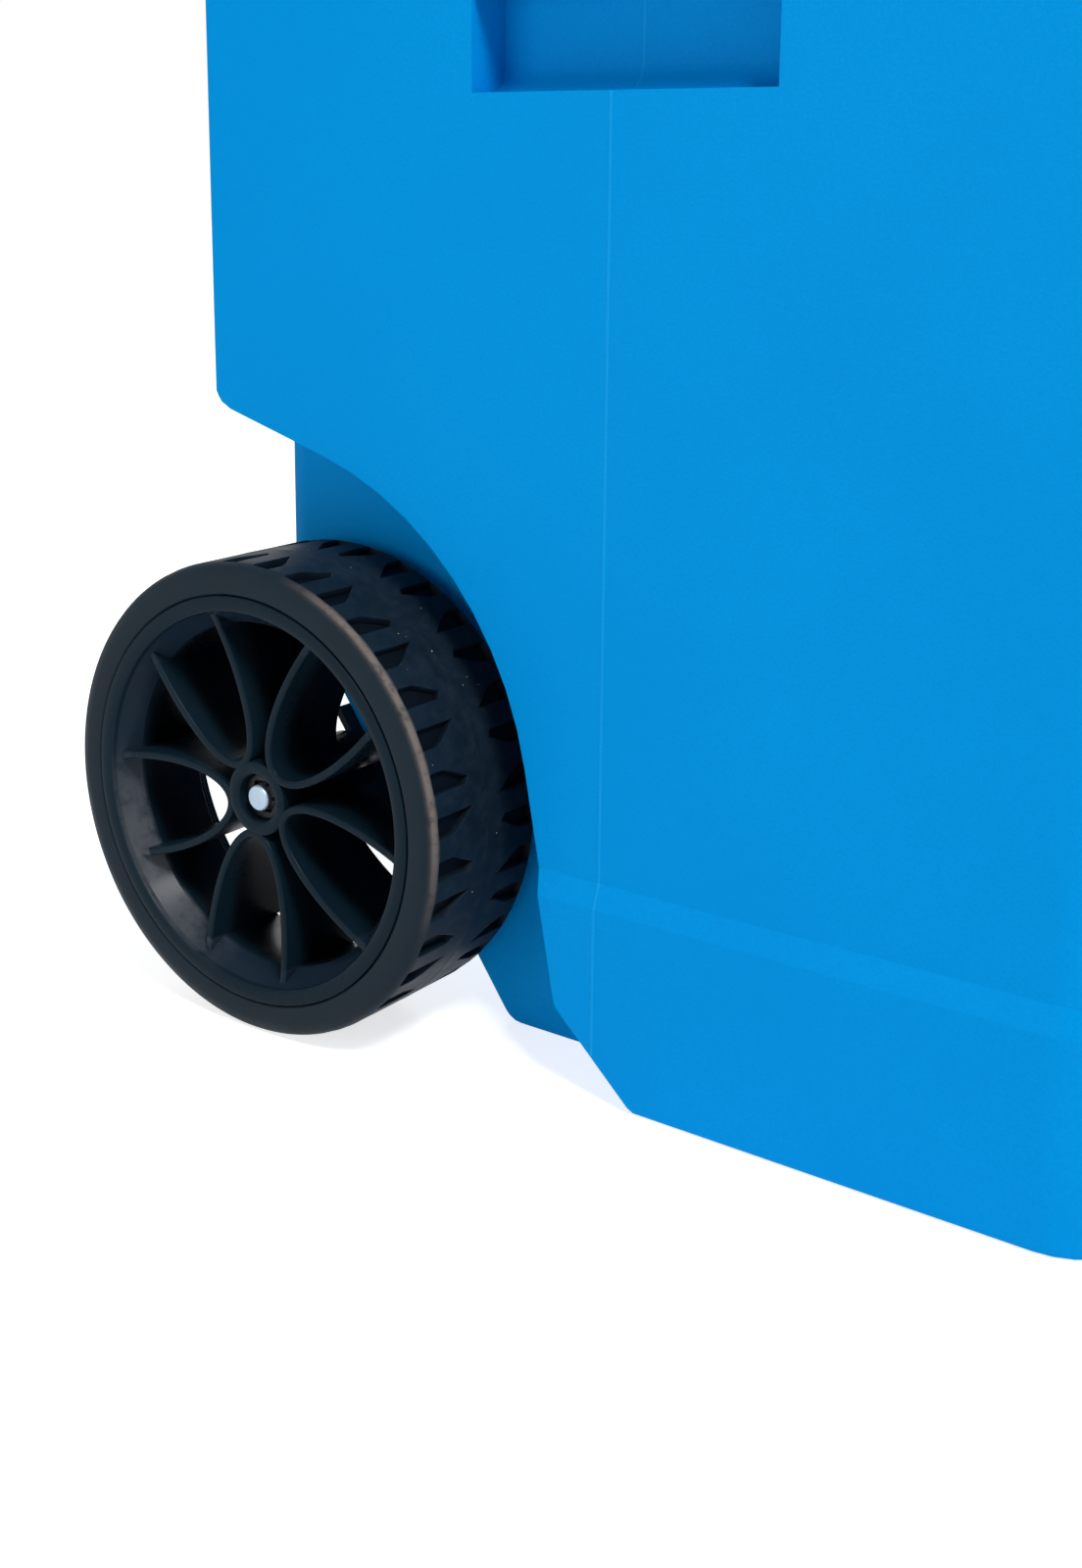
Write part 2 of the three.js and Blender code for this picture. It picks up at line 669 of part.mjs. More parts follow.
function wellCorners(archSteps) {
  const rise = Math.tan(radians(WELL_ROOF_SLOPE));
  const lean = Math.tan(radians(WELL_FRONT_LEAN));
  const roofAtRear = WELL_ROOF_REAR_RISE;
  // where the roof's line meets the front edge's line, from the axle
  const above = (roofAtRear - rise * (WELL_FRONT_AT_AXLE + BODY_BEHIND_AXLE)) / (1 - rise * lean);
  const ahead = WELL_FRONT_AT_AXLE - lean * above;
  const flareAbove = WELL_FLARE_RISE - WHEEL_RADIUS;
  const flareAhead = WELL_FRONT_AT_AXLE - lean * flareAbove;
  const flareDrop = WELL_FLARE_RISE + OPEN;
  const flareEnd = flareAhead + flareDrop / Math.tan(radians(WELL_FLARE_ANGLE));
  return [
    [-BODY_BEHIND_AXLE - OPEN, flareAbove - flareDrop],
    [flareEnd, flareAbove - flareDrop],
    [flareAhead, flareAbove, WELL_FLARE_ROUND],
    [ahead, above, WELL_ROOF_RADIUS, archSteps],
    [-BODY_BEHIND_AXLE, roofAtRear, PANEL_CORNER],
    [-BODY_BEHIND_AXLE, roofAtRear + OPEN],
    [-BODY_BEHIND_AXLE - OPEN, roofAtRear + OPEN],
  ].map(([x, z, ...round]) => [AXLE_X + x, AXLE_Z + z, ...round]);
}

function betweenSides(points, side, near, far) {
  const [from, to] = [side * near, side * far].sort((a, b) => a - b);
  return alongY(points, from, to);
}

// Rounds the upright edge between a well's wall and the rear wall.
function wellEdgeCorners(side) {
  const edge = WELL_WALL_Y;
  const run = 1.5 * WELL_INNER_CORNER;
  const corners = [
    [REAR_X - OPEN, edge + OPEN],
    [REAR_X - OPEN, edge - run],
    [REAR_X, edge - run],
    [REAR_X, edge, WELL_INNER_CORNER],
    [REAR_X + run, edge],
    [REAR_X + run, edge + OPEN],
  ];
  return side === LEFT ? corners : corners.map(([x, y, r]) => [x, -y, r]).reverse();
}

function wellCut(side, offset, archSteps) {
  const roof = outline(grow(wellCorners(archSteps), offset));
  const far = WHEEL_FACE_Y + OPEN;
  const well = betweenSides(roof, side, WELL_WALL_Y - offset, far);
  const wide = betweenSides(roof, side, WELL_WALL_Y - 3 * WELL_INNER_CORNER, far);
  const edge = alongZ(outline(grow(wellEdgeCorners(side), offset)), -OPEN, BODY_TOP);
  return well.add(wide.intersect(edge));
}

// The underside's plane passes the axle at a set distance, so the axle lies against it.
function undersideLine(height) {
  const slope = radians(UNDERSIDE_ANGLE);
  const foot = AXLE_X + AXLE_STANDOFF / Math.sin(slope);
  return foot - (height - AXLE_Z) / Math.tan(slope);
}

function undersideTop() {
  const slope = radians(UNDERSIDE_ANGLE);
  return AXLE_Z + (undersideLine(AXLE_Z) - REAR_X) * Math.tan(slope);
}

function undersideCorners() {
  return [
    [REAR_X - OPEN, -OPEN],
    [undersideLine(0) + OPEN, -OPEN],
    [undersideLine(0) + OPEN, 0],
    [undersideLine(0), 0, UNDERSIDE_EDGE],
    [REAR_X, undersideTop(), UNDERSIDE_EDGE],
    [REAR_X, undersideTop() + OPEN],
    [REAR_X - OPEN, undersideTop() + OPEN],
  ];
}

function undersideCut(offset) {
  const halfWidth = WHEEL_FACE_Y + OPEN;
  return alongY(outline(grow(undersideCorners(), offset)), -halfWidth, halfWidth);
}

function handPocketCut(offset) {
  const half = HAND_POCKET_HALF_WIDTH;
  const mouth = rectangle(-half, half, BRIDGE_TOP, HAND_POCKET_TOP, HAND_POCKET_CORNER);
  return alongX(outline(grow(mouth, offset)), REAR_X - OPEN, REAR_X + HAND_POCKET_DEPTH + offset);
}

// A grip is a pocket whose roof goes up behind a lip, for the fingertips.
function gripCut(side, offset) {
  const face = BODY_HALF_WIDTH;
  const lip = face - GRIP_LIP;
  const back = face - GRIP_DEPTH;
  const corners = [
    [back, GRIP_BOTTOM, GRIP_ROUND],
    [face + OPEN, GRIP_BOTTOM],
    [face + OPEN, GRIP_TOP],
    [lip, GRIP_TOP],
    [lip, GRIP_TOP + GRIP_UNDERCUT],
    [back, GRIP_TOP + GRIP_UNDERCUT, GRIP_ROUND / 2],
  ];
  const sided = side === LEFT ? corners : corners.map(([y, z, r]) => [-y, z, r]).reverse();
  const half = GRIP_LENGTH / 2 + offset;
  return alongX(outline(grow(sided, offset)), MIDDLE_X - half, MIDDLE_X + half);
}

function drainPocketCut(offset) {
  const pocket = rod(DRAIN_POCKET_RADIUS + offset, -offset, OPEN);
  return solid(facingFront(pocket, DRAIN_SEAT_X, 0, DRAIN_HEIGHT));
}

function drainHoleCut() {
  const hole = rod(DRAIN_TUBE_RADIUS + GAP, -FOAM_THICKNESS - OPEN, OPEN);
  return solid(facingFront(hole, DRAIN_SEAT_X, 0, DRAIN_HEIGHT));
}

function chestCutters(offset, archSteps = ARCH_STEPS) {
  return [
    wellCut(RIGHT, offset, archSteps),
    wellCut(LEFT, offset, archSteps),
    undersideCut(offset),
  ];
}

function pocketCutters(offset) {
  return [
    handPocketCut(offset),
    gripCut(RIGHT, offset),
    gripCut(LEFT, offset),
    drainPocketCut(offset),
  ];
}

// ---------------------------------------------------------------- chest

function chestPlan() {
  return [
    [REAR_X, -BODY_HALF_WIDTH, REAR_CORNER],
    [FRONT_X, -BODY_HALF_WIDTH, FRONT_CORNER, BIG_CORNER_STEPS],
    [FRONT_X, BODY_HALF_WIDTH, FRONT_CORNER, BIG_CORNER_STEPS],
    [REAR_X, BODY_HALF_WIDTH, REAR_CORNER],
  ];
}

// The chest's outer form, or the same form moved in by a wall.
function chestBlock(offset, top) {
  const blank = stack(chestPlan(), [
    [offset, offset + FOOT_ROUND - BAND_STEP],
    [offset + FOOT_ROUND / 3, offset + FOOT_ROUND / 3 - BAND_STEP],
    [offset + FOOT_ROUND, offset - BAND_STEP],
    [BAND_TOP, offset - BAND_STEP],
    [LEDGE_TOP, offset],
    [top, offset],
  ]);
  return cut(blank, ...chestCutters(offset), ...pocketCutters(offset));
}

function basinPlan() {
  const half = BODY_HALF_WIDTH - WALL_TOTAL;
  return rectangle(REAR_X + WALL_TOTAL, BASIN_FRONT_X, -half, half, BASIN_CORNER);
}

// The room for ice, or the same form moved out by the liner's wall.
function basin(outwards, top) {
  const floor = WALL_TOTAL - outwards;
  const blank = stack(basinPlan(), [
    [floor, BASIN_FLOOR_ROUND + BASIN_DRAFT - outwards],
    [floor + BASIN_FLOOR_ROUND / 4, BASIN_FLOOR_ROUND / 3 + BASIN_DRAFT - outwards],
    [floor + BASIN_FLOOR_ROUND, BASIN_DRAFT - outwards],
    [BODY_TOP - BASIN_FLOOR_ROUND, -outwards],
    [top, -outwards],
  ]);
  return cut(blank, ...chestCutters(WALL_TOTAL - outwards, LINER_ARCH_STEPS));
}

function makeOuterShell() {
  const shell = cut(chestBlock(0, BODY_TOP), chestBlock(SHELL_WALL, BODY_TOP + OPEN));
  return drilled(drilled(cut(shell, drainHoleCut()), "chest_"), "axle_");
}

function makeFoamCore() {
  const top = BODY_TOP - LINER_WALL - GAP;
  const block = chestBlock(SHELL_WALL + GAP, top);
  const hollow = cut(block, basin(LINER_WALL + GAP, BODY_TOP + OPEN), drainHoleCut());
  return drilled(drilled(hollow, "chest_"), "axle_");
}

function makeInnerLiner() {
  const flangePlan = grow(chestPlan(), -SHELL_WALL - GAP);
  const flange = alongZ(outline(flangePlan), BODY_TOP - LINER_WALL, BODY_TOP);
  const tub = join(flange, basin(LINER_WALL, BODY_TOP));
  return cut(tub, basin(0, BODY_TOP + OPEN), drainHoleCut());
}

// ---------------------------------------------------------------- drain

function drainPlaced(geometry) {
  return solid(facingFront(geometry, DRAIN_SEAT_X, 0, DRAIN_HEIGHT));
}

// Distances along the drain run forwards from its seat in the front pocket.
const DRAIN_INNER_SEAT = BASIN_FRONT_X - BASIN_DRAFT - DRAIN_SEAT_X;
const DRAIN_TUBE_END = DRAIN_INNER_SEAT - GASKET - DRAIN_NUT - 4 * GAP;

function makeDrainSpout() {
  return drainPlaced(turned([
    [DRAIN_BORE, DRAIN_TUBE_END],
    [DRAIN_TUBE_RADIUS, DRAIN_TUBE_END],
    [DRAIN_TUBE_RADIUS, GAP],
    [DRAIN_FLANGE_RADIUS, GAP],
    [DRAIN_FLANGE_RADIUS, DRAIN_FLANGE / 2],
    [DRAIN_FLANGE_RADIUS - DRAIN_FLANGE / 2, DRAIN_FLANGE],
    [DRAIN_BORE, DRAIN_FLANGE],
    [DRAIN_BORE, DRAIN_TUBE_END],
  ]));
}

function makeDrainGasket() {
  const to = DRAIN_INNER_SEAT - GAP;
  return drainPlaced(ring(DRAIN_TUBE_RADIUS + GAP, DRAIN_NUT_RADIUS - 1, to - GASKET, to));
}

function makeDrainNut() {
  const to = DRAIN_INNER_SEAT - GASKET - 2 * GAP;
  const hexagon = rod(DRAIN_NUT_RADIUS, to - DRAIN_NUT, to, 6);
  const bore = rod(DRAIN_TUBE_RADIUS + GAP, to - OPEN, to + OPEN);
  return cut(drainPlaced(hexagon), drainPlaced(bore));
}

// A push-in stopper that fills the spout, with a pull tab.
function makeDrainPlug() {
  const seat = DRAIN_FLANGE + GAP;
  const stem = DRAIN_BORE - GAP;
  const cap = (DRAIN_BORE + DRAIN_FLANGE_RADIUS) / 2;
  const stopper = drainPlaced(turned([
    [0, DRAIN_TUBE_END],
    [stem - PLUG_CHAMFER, DRAIN_TUBE_END],
    [stem, DRAIN_TUBE_END + PLUG_CHAMFER],
    [stem, seat],
    [cap, seat],
    [cap, seat + PLUG_CAP],
    [0, seat + PLUG_CAP],
  ]));
  const half = PLUG_TAB_THICKNESS / 2;
  const from = DRAIN_SEAT_X + seat + PLUG_CAP / 2;
  const tab = rectangle(-half, half, DRAIN_HEIGHT - cap + half, DRAIN_HEIGHT + cap - half);
  return join(stopper, alongX(outline(tab), from, from + PLUG_TAB));
}

// ---------------------------------------------------------------- axle straps

// A strap lies on the sloping underside, with a hump over the axle. Its profile is drawn
// with x along the slope and y out from it, then turned to the slope.
function strapProfile() {
  const bore = AXLE_RADIUS + GAP;
  const hump = bore + STRAP_WALL;
  const plate = GAP + STRAP_WALL;
  const shoulder = hump * 0.8;
  const foot = hump + 1;
  return [
    [-STRAP_HALF_LENGTH, GAP],
    [STRAP_HALF_LENGTH, GAP],
    [STRAP_HALF_LENGTH, plate],
    [foot, plate],
    [shoulder, AXLE_STANDOFF + hump, hump / 2],
    [-shoulder, AXLE_STANDOFF + hump, hump / 2],
    [-foot, plate],
    [-STRAP_HALF_LENGTH, plate],
  ];
}

function slopeAxes() {
  const slope = radians(UNDERSIDE_ANGLE);
  return {
    along: new THREE.Vector3(-Math.cos(slope), 0, Math.sin(slope)),
    out: new THREE.Vector3(-Math.sin(slope), 0, -Math.cos(slope)),
  };
}

// A point on the underside, level with the axle and moved along the slope.
function slopePoint(along, out, y) {
  const axes = slopeAxes();
  return new THREE.Vector3(AXLE_X, y, AXLE_Z)
    .addScaledVector(axes.out, out - AXLE_STANDOFF)
    .addScaledVector(axes.along, along);
}

function strapSpan(side) {
  const outer = side * (WHEEL_FACE_Y - HUB_INNER_END - WASHER_THICKNESS - 2 * GAP);
  return [outer, outer - side * STRAP_WIDTH].sort((a, b) => a - b);
}

function makeAxleStrap(side, word) {
  const [from, to] = strapSpan(side);
  const { along, out } = slopeAxes();
  const width = along.clone().cross(out);
  const start = width.y > 0 ? from : to;
  const points = outline(strapProfile());
  const strap = extruded(points, to - from, [along, out, width], slopePoint(0, 0, start).toArray());
  const bore = solid(rod(AXLE_RADIUS + GAP, from - OPEN, to + OPEN).translate(AXLE_X, 0, AXLE_Z));
  return drilled(cut(strap, bore), `axle_screw_${word}`);
}

function addStrapScrews(side, word) {
  const [from, to] = strapSpan(side);
  const y = side * (Math.min(Math.abs(from), Math.abs(to)) + STRAP_WIDTH / 4);
  const { out } = slopeAxes();
  [["upper", 1], ["lower", -1]].forEach(([where, sign]) => {
    const seat = slopePoint(sign * STRAP_SCREW_OFFSET, GAP + STRAP_WALL, y);
    addScrew(`axle_screw_${word}_${where}`, seat.toArray(), out);
  });
}

// ---------------------------------------------------------------- lid

// The lid stands out past the chest on every side but the hinged one.
function lidPlan() {
  const rear = REAR_X - LID_OVERHANG;
  const front = FRONT_X + LID_OVERHANG;
  const right = -BODY_HALF_WIDTH - LID_OVERHANG;
  const [small, big] = [REAR_CORNER + LID_OVERHANG, FRONT_CORNER + LID_OVERHANG];
  return [
    [rear, right, small],
    [front, right, big, BIG_CORNER_STEPS],
    [front, BODY_HALF_WIDTH, big, BIG_CORNER_STEPS],
    [rear, BODY_HALF_WIDTH, small],
  ];
}

function cupCut(offset) {
  const cups = [[-1, -1], [1, -1], [-1, 1], [1, 1]].map(([signX, signY]) => {
    const x = MIDDLE_X + (signX * CUP_SPACING_X) / 2;
    const y = (signY * CUP_SPACING_Y) / 2;
    const cup = rod(CUP_RADIUS + offset, -CUP_DEPTH - offset, OPEN, CUP_STEPS);
    return solid(standing(cup, x, y, LID_TOP));
  });
  return join(...cups);
}

// Room for fingertips under the lid's edge, opposite the hinges.
function notchCut(offset) {
  const corners = [
    [MIDDLE_X - NOTCH_HALF_WIDTH, LID_BOTTOM - OPEN],
    [MIDDLE_X + NOTCH_HALF_WIDTH, LID_BOTTOM - OPEN],
    [MIDDLE_X + NOTCH_HALF_WIDTH, LID_BOTTOM + NOTCH_HEIGHT, NOTCH_CORNER],
    [MIDDLE_X - NOTCH_HALF_WIDTH, LID_BOTTOM + NOTCH_HEIGHT, NOTCH_CORNER],
  ];
  const back = NOTCH_DEPTH + offset - BODY_HALF_WIDTH - LID_OVERHANG;
  return alongY(outline(grow(corners, offset)), -BODY_HALF_WIDTH - OPEN, back);
}

// The lid's outer form, or the same form moved in by a wall and open below.
function lidBlock(offset, bottom) {
  const top = LID_TOP - offset;
  const blank = stack(lidPlan(), [
    [bottom, offset],
    [top - LID_EDGE, offset],
    [top - LID_EDGE * 0.5, offset + LID_EDGE * 0.14],
    [top - LID_EDGE * 0.15, offset + LID_EDGE * 0.5],
    [top, offset + LID_EDGE],
  ]);
  return cut(blank, cupCut(offset), notchCut(offset));
}

function makeLidShell() {
  const shell = cut(lidBlock(0, LID_BOTTOM), lidBlock(LID_WALL, LID_BOTTOM - OPEN));
  return drilled(shell, "lid_");
}

function panBlock(inset, from, to) {
  return alongZ(outline(grow(basinPlan(), -PAN_CLEARANCE - inset)), from, to);
}

function makeLidLiner() {
  const plan = grow(lidPlan(), -LID_WALL - GAP);
  const flange = alongZ(outline(plan), LID_BOTTOM, LID_BOTTOM + LINER_WALL);
  const panFloor = LID_BOTTOM - PAN_DEPTH;
  const pan = panBlock(0, panFloor, LID_BOTTOM + LINER_WALL);
  const inside = panBlock(LINER_WALL, panFloor + LINER_WALL, LID_BOTTOM + OPEN);
  return cut(join(flange, pan), inside, notchCut(LID_WALL + GAP));
}

function makeLidFoam() {
  const bottom = LID_BOTTOM + LINER_WALL + GAP;
  const panFloor = LID_BOTTOM - PAN_DEPTH + LINER_WALL + GAP;
  const upper = lidBlock(LID_WALL + GAP, bottom);
  const lower = panBlock(LINER_WALL + GAP, panFloor, bottom + GAP);
  return drilled(cut(join(upper, lower), notchCut(LID_WALL + GAP)), "lid_");
}

// ---------------------------------------------------------------- hinges

// A hinge is drawn with its pin along local Y and the wall on its local +X side.
const PLATE_INNER = KNUCKLE_RADIUS;
const PLATE_OUTER = KNUCKLE_RADIUS - HINGE_PLATE;

// The plate of a leaf: sign 1 goes up from the pin and -1 goes down.
function hingePlate(sign) {
  const clear = KNUCKLE_RADIUS + GAP;
  const heights = [sign * clear, sign * HINGE_REACH].sort((a, b) => a - b);
  const half = HINGE_LENGTH / 2;
  return alongX(outline(rectangle(-half, half, ...heights, HINGE_PLATE)), PLATE_OUTER, PLATE_INNER);
}

function hingeTongue(sign, from, to) {
  const heights = [0, sign * 1.5 * KNUCKLE_RADIUS].sort((a, b) => a - b);
  const web = alongY(outline(rectangle(PLATE_OUTER, PLATE_INNER, ...heights)), from, to);
  return join(web, solid(rod(KNUCKLE_RADIUS, from, to, ROUND_STEPS)));
}

function hingeLeaf(sign, knuckles) {
  const tongues = knuckles.map(([from, to]) => hingeTongue(sign, from, to));
  const bore = solid(rod(PIN_RADIUS + RUNNING_GAP, -HINGE_LENGTH, HINGE_LENGTH, SMALL_STEPS));
  const holes = [1, -1].map((side) => {
    const hole = rod(SCREW_SHANK + GAP, -OPEN, OPEN, SMALL_STEPS).rotateZ(Math.PI / 2);
    return solid(hole.translate(0, side * HINGE_SCREW_SPREAD, sign * HINGE_SCREW_REACH));
  });
  return cut(join(hingePlate(sign), ...tongues), bore, ...holes);
}

function makeBodyLeaf() {
  const inner = HINGE_MIDDLE / 2 + GAP;
  const outer = HINGE_LENGTH / 2;
  return hingeLeaf(-1, [[-outer, -inner], [inner, outer]]);
}

function makeLidLeaf() {
  return hingeLeaf(1, [[-HINGE_MIDDLE / 2, HINGE_MIDDLE / 2]]);
}

function makeHingePin() {
  const end = HINGE_LENGTH / 2 + GAP;
  const head = PIN_RADIUS * 1.6;
  return solid(turned([
    [0, -end],
    [PIN_RADIUS, -end],
    [PIN_RADIUS, end],
    [head, end],
    [head, end + PIN_RADIUS / 2],
    [0, end + PIN_RADIUS / 2],
  ], SMALL_STEPS));
}

function addHingeScrews(end, word) {
  const y = BODY_HALF_WIDTH + GAP + HINGE_PLATE;
  [["a", -1], ["b", 1]].forEach(([letter, sign]) => {
    const x = MIDDLE_X + end * HINGE_SPREAD + sign * HINGE_SCREW_SPREAD;
    addScrew(`chest_hinge_screw_${word}_${letter}`, [x, y, HINGE_Z - HINGE_SCREW_REACH], Y);
    addScrew(`lid_hinge_screw_${word}_${letter}`, [x, y, HINGE_Z + HINGE_SCREW_REACH], Y);
  });
}

function addHinge(end, word) {
  const hinge = new THREE.Group();
  hinge.position.set(MIDDLE_X + end * HINGE_SPREAD, HINGE_Y, HINGE_Z);
  hinge.rotation.z = -Math.PI / 2;
  hinge.add(part(`hinge_body_leaf_${word}`, makeBodyLeaf(), STEEL()));
  hinge.add(part(`hinge_lid_leaf_${word}`, makeLidLeaf(), STEEL()));
  hinge.add(part(`hinge_pin_${word}`, makeHingePin(), STEEL()));
  cooler.add(hinge);
}

// ---------------------------------------------------------------- tow handle

// Two sleeves joined by a plate that is screwed to the rear wall.
function bracketPlan() {
  const back = REAR_X - GAP;
  const front = HANDLE_X - SLEEVE_RADIUS;
  const half = BRACKET_HALF_WIDTH;
  const inner = HANDLE_SPREAD - SLEEVE_RADIUS;
  const plate = back - BRACKET_PLATE;
  const round = SLEEVE_RADIUS * 0.7;
  const flank = SLEEVE_RADIUS / 2;
  return [
    [back, -half],
    [back, half],
    [front, half, round],
    [front, inner, round],
    [plate, inner - flank],
    [plate, flank - inner],
    [front, -inner, round],
    [front, -half, round],
  ];
}

function tubeHoles(radius, from, to) {
  return [LEFT, RIGHT].map((side) => {
    return solid(standing(rod(radius, from, to), HANDLE_X, side * HANDLE_SPREAD, 0));
  });
}

function makeTopBracket() {
  const from = OUTER_TUBE_TOP - TOP_BRACKET_HEIGHT;
  const block = alongZ(outline(bracketPlan()), from, OUTER_TUBE_TOP);
  const holes = tubeHoles(OUTER_TUBE_RADIUS + GAP, from - OPEN, OUTER_TUBE_TOP + OPEN);
  return drilled(cut(block, ...holes), "chest_top_bracket");
}

function makeFootBracket() {
  const block = alongZ(outline(bracketPlan()), HANDLE_FOOT, HANDLE_FOOT + FOOT_BRACKET_HEIGHT);
  const holes = tubeHoles(OUTER_TUBE_RADIUS + GAP, HANDLE_FOOT + SOCKET_FLOOR, BODY_TOP);
  return drilled(cut(block, ...holes), "chest_foot_bracket");
}

function makeTube(radius, from, to) {
  return solid(standing(ring(radius - TUBE_WALL, radius, from, to), 0, 0, 0));
}

function barPlan() {
  const half = BRACKET_HALF_WIDTH - BRIDGE_EDGE;
  const depth = HANDLE_BAR_HALF_DEPTH;
  return rectangle(HANDLE_X - depth, HANDLE_X + depth, -half, half, depth * 0.8);
}

// Links the two middle tubes and stops their tops.
function makeBridge() {
  const block = stack(barPlan(), [
    [BRIDGE_BOTTOM, 0],
    [BRIDGE_TOP - BRIDGE_EDGE, 0],
    [BRIDGE_TOP, BRIDGE_EDGE],
  ]);
  const seats = tubeHoles(MID_TUBE_RADIUS + GAP, BRIDGE_BOTTOM - OPEN, BRIDGE_TOP - BRIDGE_LIP);
  const through = tubeHoles(INNER_TUBE_RADIUS + GAP, BRIDGE_BOTTOM, BRIDGE_TOP + OPEN);
  return cut(block, ...seats, ...through);
}

function buttonPlan(margin) {
  const halfLength = BUTTON_LENGTH / 2;
  const halfWidth = BUTTON_WIDTH / 2;
  const plan = rectangle(
    HANDLE_X - halfWidth,
    HANDLE_X + halfWidth,
    -halfLength,
    halfLength,
    halfWidth - MIN_RADIUS,
  );
  return grow(plan, margin);
}

function makeHandleBar() {
  const edge = HANDLE_BAR_EDGE;
  const block = stack(barPlan(), [
    [BAR_BOTTOM, edge * 0.5],
    [BAR_BOTTOM + edge * 0.3, edge * 0.12],
    [BAR_BOTTOM + edge, 0],
    [BAR_TOP - edge, 0],
    [BAR_TOP - edge * 0.3, edge * 0.25],
    [BAR_TOP, edge * 0.8],
  ]);
  const sockets = tubeHoles(INNER_TUBE_RADIUS + GAP, BAR_BOTTOM - OPEN, BAR_BOTTOM + BAR_SOCKET_DEPTH);
  const pocket = alongZ(outline(buttonPlan(GAP)), BAR_TOP - BUTTON_POCKET_DEPTH, BAR_TOP + OPEN);
  return cut(block, ...sockets, pocket);
}

function makeReleaseButton() {
  const bottom = BAR_TOP - BUTTON_POCKET_DEPTH + BUTTON_TRAVEL + 2 * GAP;
  const top = BAR_TOP + BUTTON_STANDOUT;
  return stack(buttonPlan(0), [[bottom, 0], [top - BUTTON_EDGE, 0], [top, BUTTON_EDGE]]);
}

function addTubes(side, word) {
  const tubes = new THREE.Group();
  tubes.position.set(HANDLE_X, side * HANDLE_SPREAD, 0);
  const outer = makeTube(OUTER_TUBE_RADIUS, TUBE_FOOT, OUTER_TUBE_TOP);
  const mid = makeTube(MID_TUBE_RADIUS, TUBE_FOOT, BRIDGE_TOP - BRIDGE_LIP - GAP);
  const innerTop = BAR_BOTTOM + BAR_SOCKET_DEPTH - GAP;
  const inner = makeTube(INNER_TUBE_RADIUS, TUBE_FOOT, innerTop);
  tubes.add(part(`outer_tube_${word}`, outer, ALUMINIUM()));
  tubes.add(part(`mid_tube_${word}`, mid, ALUMINIUM()));
  tubes.add(part(`inner_tube_${word}`, inner, ALUMINIUM()));
  cooler.add(tubes);
}

function addBracketScrews() {
  const x = REAR_X - GAP - BRACKET_PLATE;
  const backwards = X.clone().negate();
  const topRow = OUTER_TUBE_TOP - TOP_BRACKET_HEIGHT / 2;
  const footRow = HANDLE_FOOT + FOOT_BRACKET_HEIGHT / 2;
  const reach = HANDLE_SPREAD - 2.6 * SLEEVE_RADIUS;
  [-reach, -reach / 3, reach / 3, reach].forEach((y, i) => {
    addScrew(`chest_top_bracket_screw_${i + 1}`, [x, y, topRow], backwards);
  });
  [-reach, reach].forEach((y, i) => {
    addScrew(`chest_foot_bracket_screw_${i + 1}`, [x, y, footRow], backwards);
  });
}

// ---------------------------------------------------------------- assembly

const SIDES = [[RIGHT, "right"], [LEFT, "left"]];
const ENDS = [[-1, "rear"], [1, "front"]];

addBracketScrews();
SIDES.forEach(([side, word]) => addStrapScrews(side, word));
ENDS.forEach(([end, word]) => addHingeScrews(end, word));

cooler.add(part("outer_shell", makeOuterShell(), BLUE()));
cooler.add(part("foam_core", makeFoamCore(), FOAM()));
cooler.add(part("inner_liner", makeInnerLiner(), WHITE()));

cooler.add(part("drain_spout", makeDrainSpout(), WHITE()));
cooler.add(part("drain_gasket", makeDrainGasket(), RUBBER()));
cooler.add(part("drain_nut", makeDrainNut(), WHITE()));
cooler.add(part("drain_plug", makeDrainPlug(), WHITE()));

cooler.add(part("axle", makeAxle(), STEEL()));
SIDES.forEach(([side, word]) => {
  cooler.add(part(`axle_strap_${word}`, makeAxleStrap(side, word), BLACK()));
  cooler.add(makeWheel(side, word));
});

cooler.add(part("lid_shell", makeLidShell(), WHITE()));
cooler.add(part("lid_foam", makeLidFoam(), FOAM()));
cooler.add(part("lid_liner", makeLidLiner(), WHITE()));
ENDS.forEach(([end, word]) => addHinge(end, word));

cooler.add(part("handle_top_bracket", makeTopBracket(), BLACK()));
cooler.add(part("handle_foot_bracket", makeFootBracket(), BLACK()));
SIDES.forEach(([side, word]) => addTubes(side, word));
cooler.add(part("handle_bridge", makeBridge(), BLACK()));
cooler.add(part("handle_bar", makeHandleBar(), BLACK()));
cooler.add(part("release_button", makeReleaseButton(), BLUE()));

screws.forEach((screw) => cooler.add(makeScrew(screw)));

export default cooler;
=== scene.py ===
import json
import math

import bmesh
import bpy
from mathutils import Matrix, Vector
from mathutils.geometry import delaunay_2d_cdt


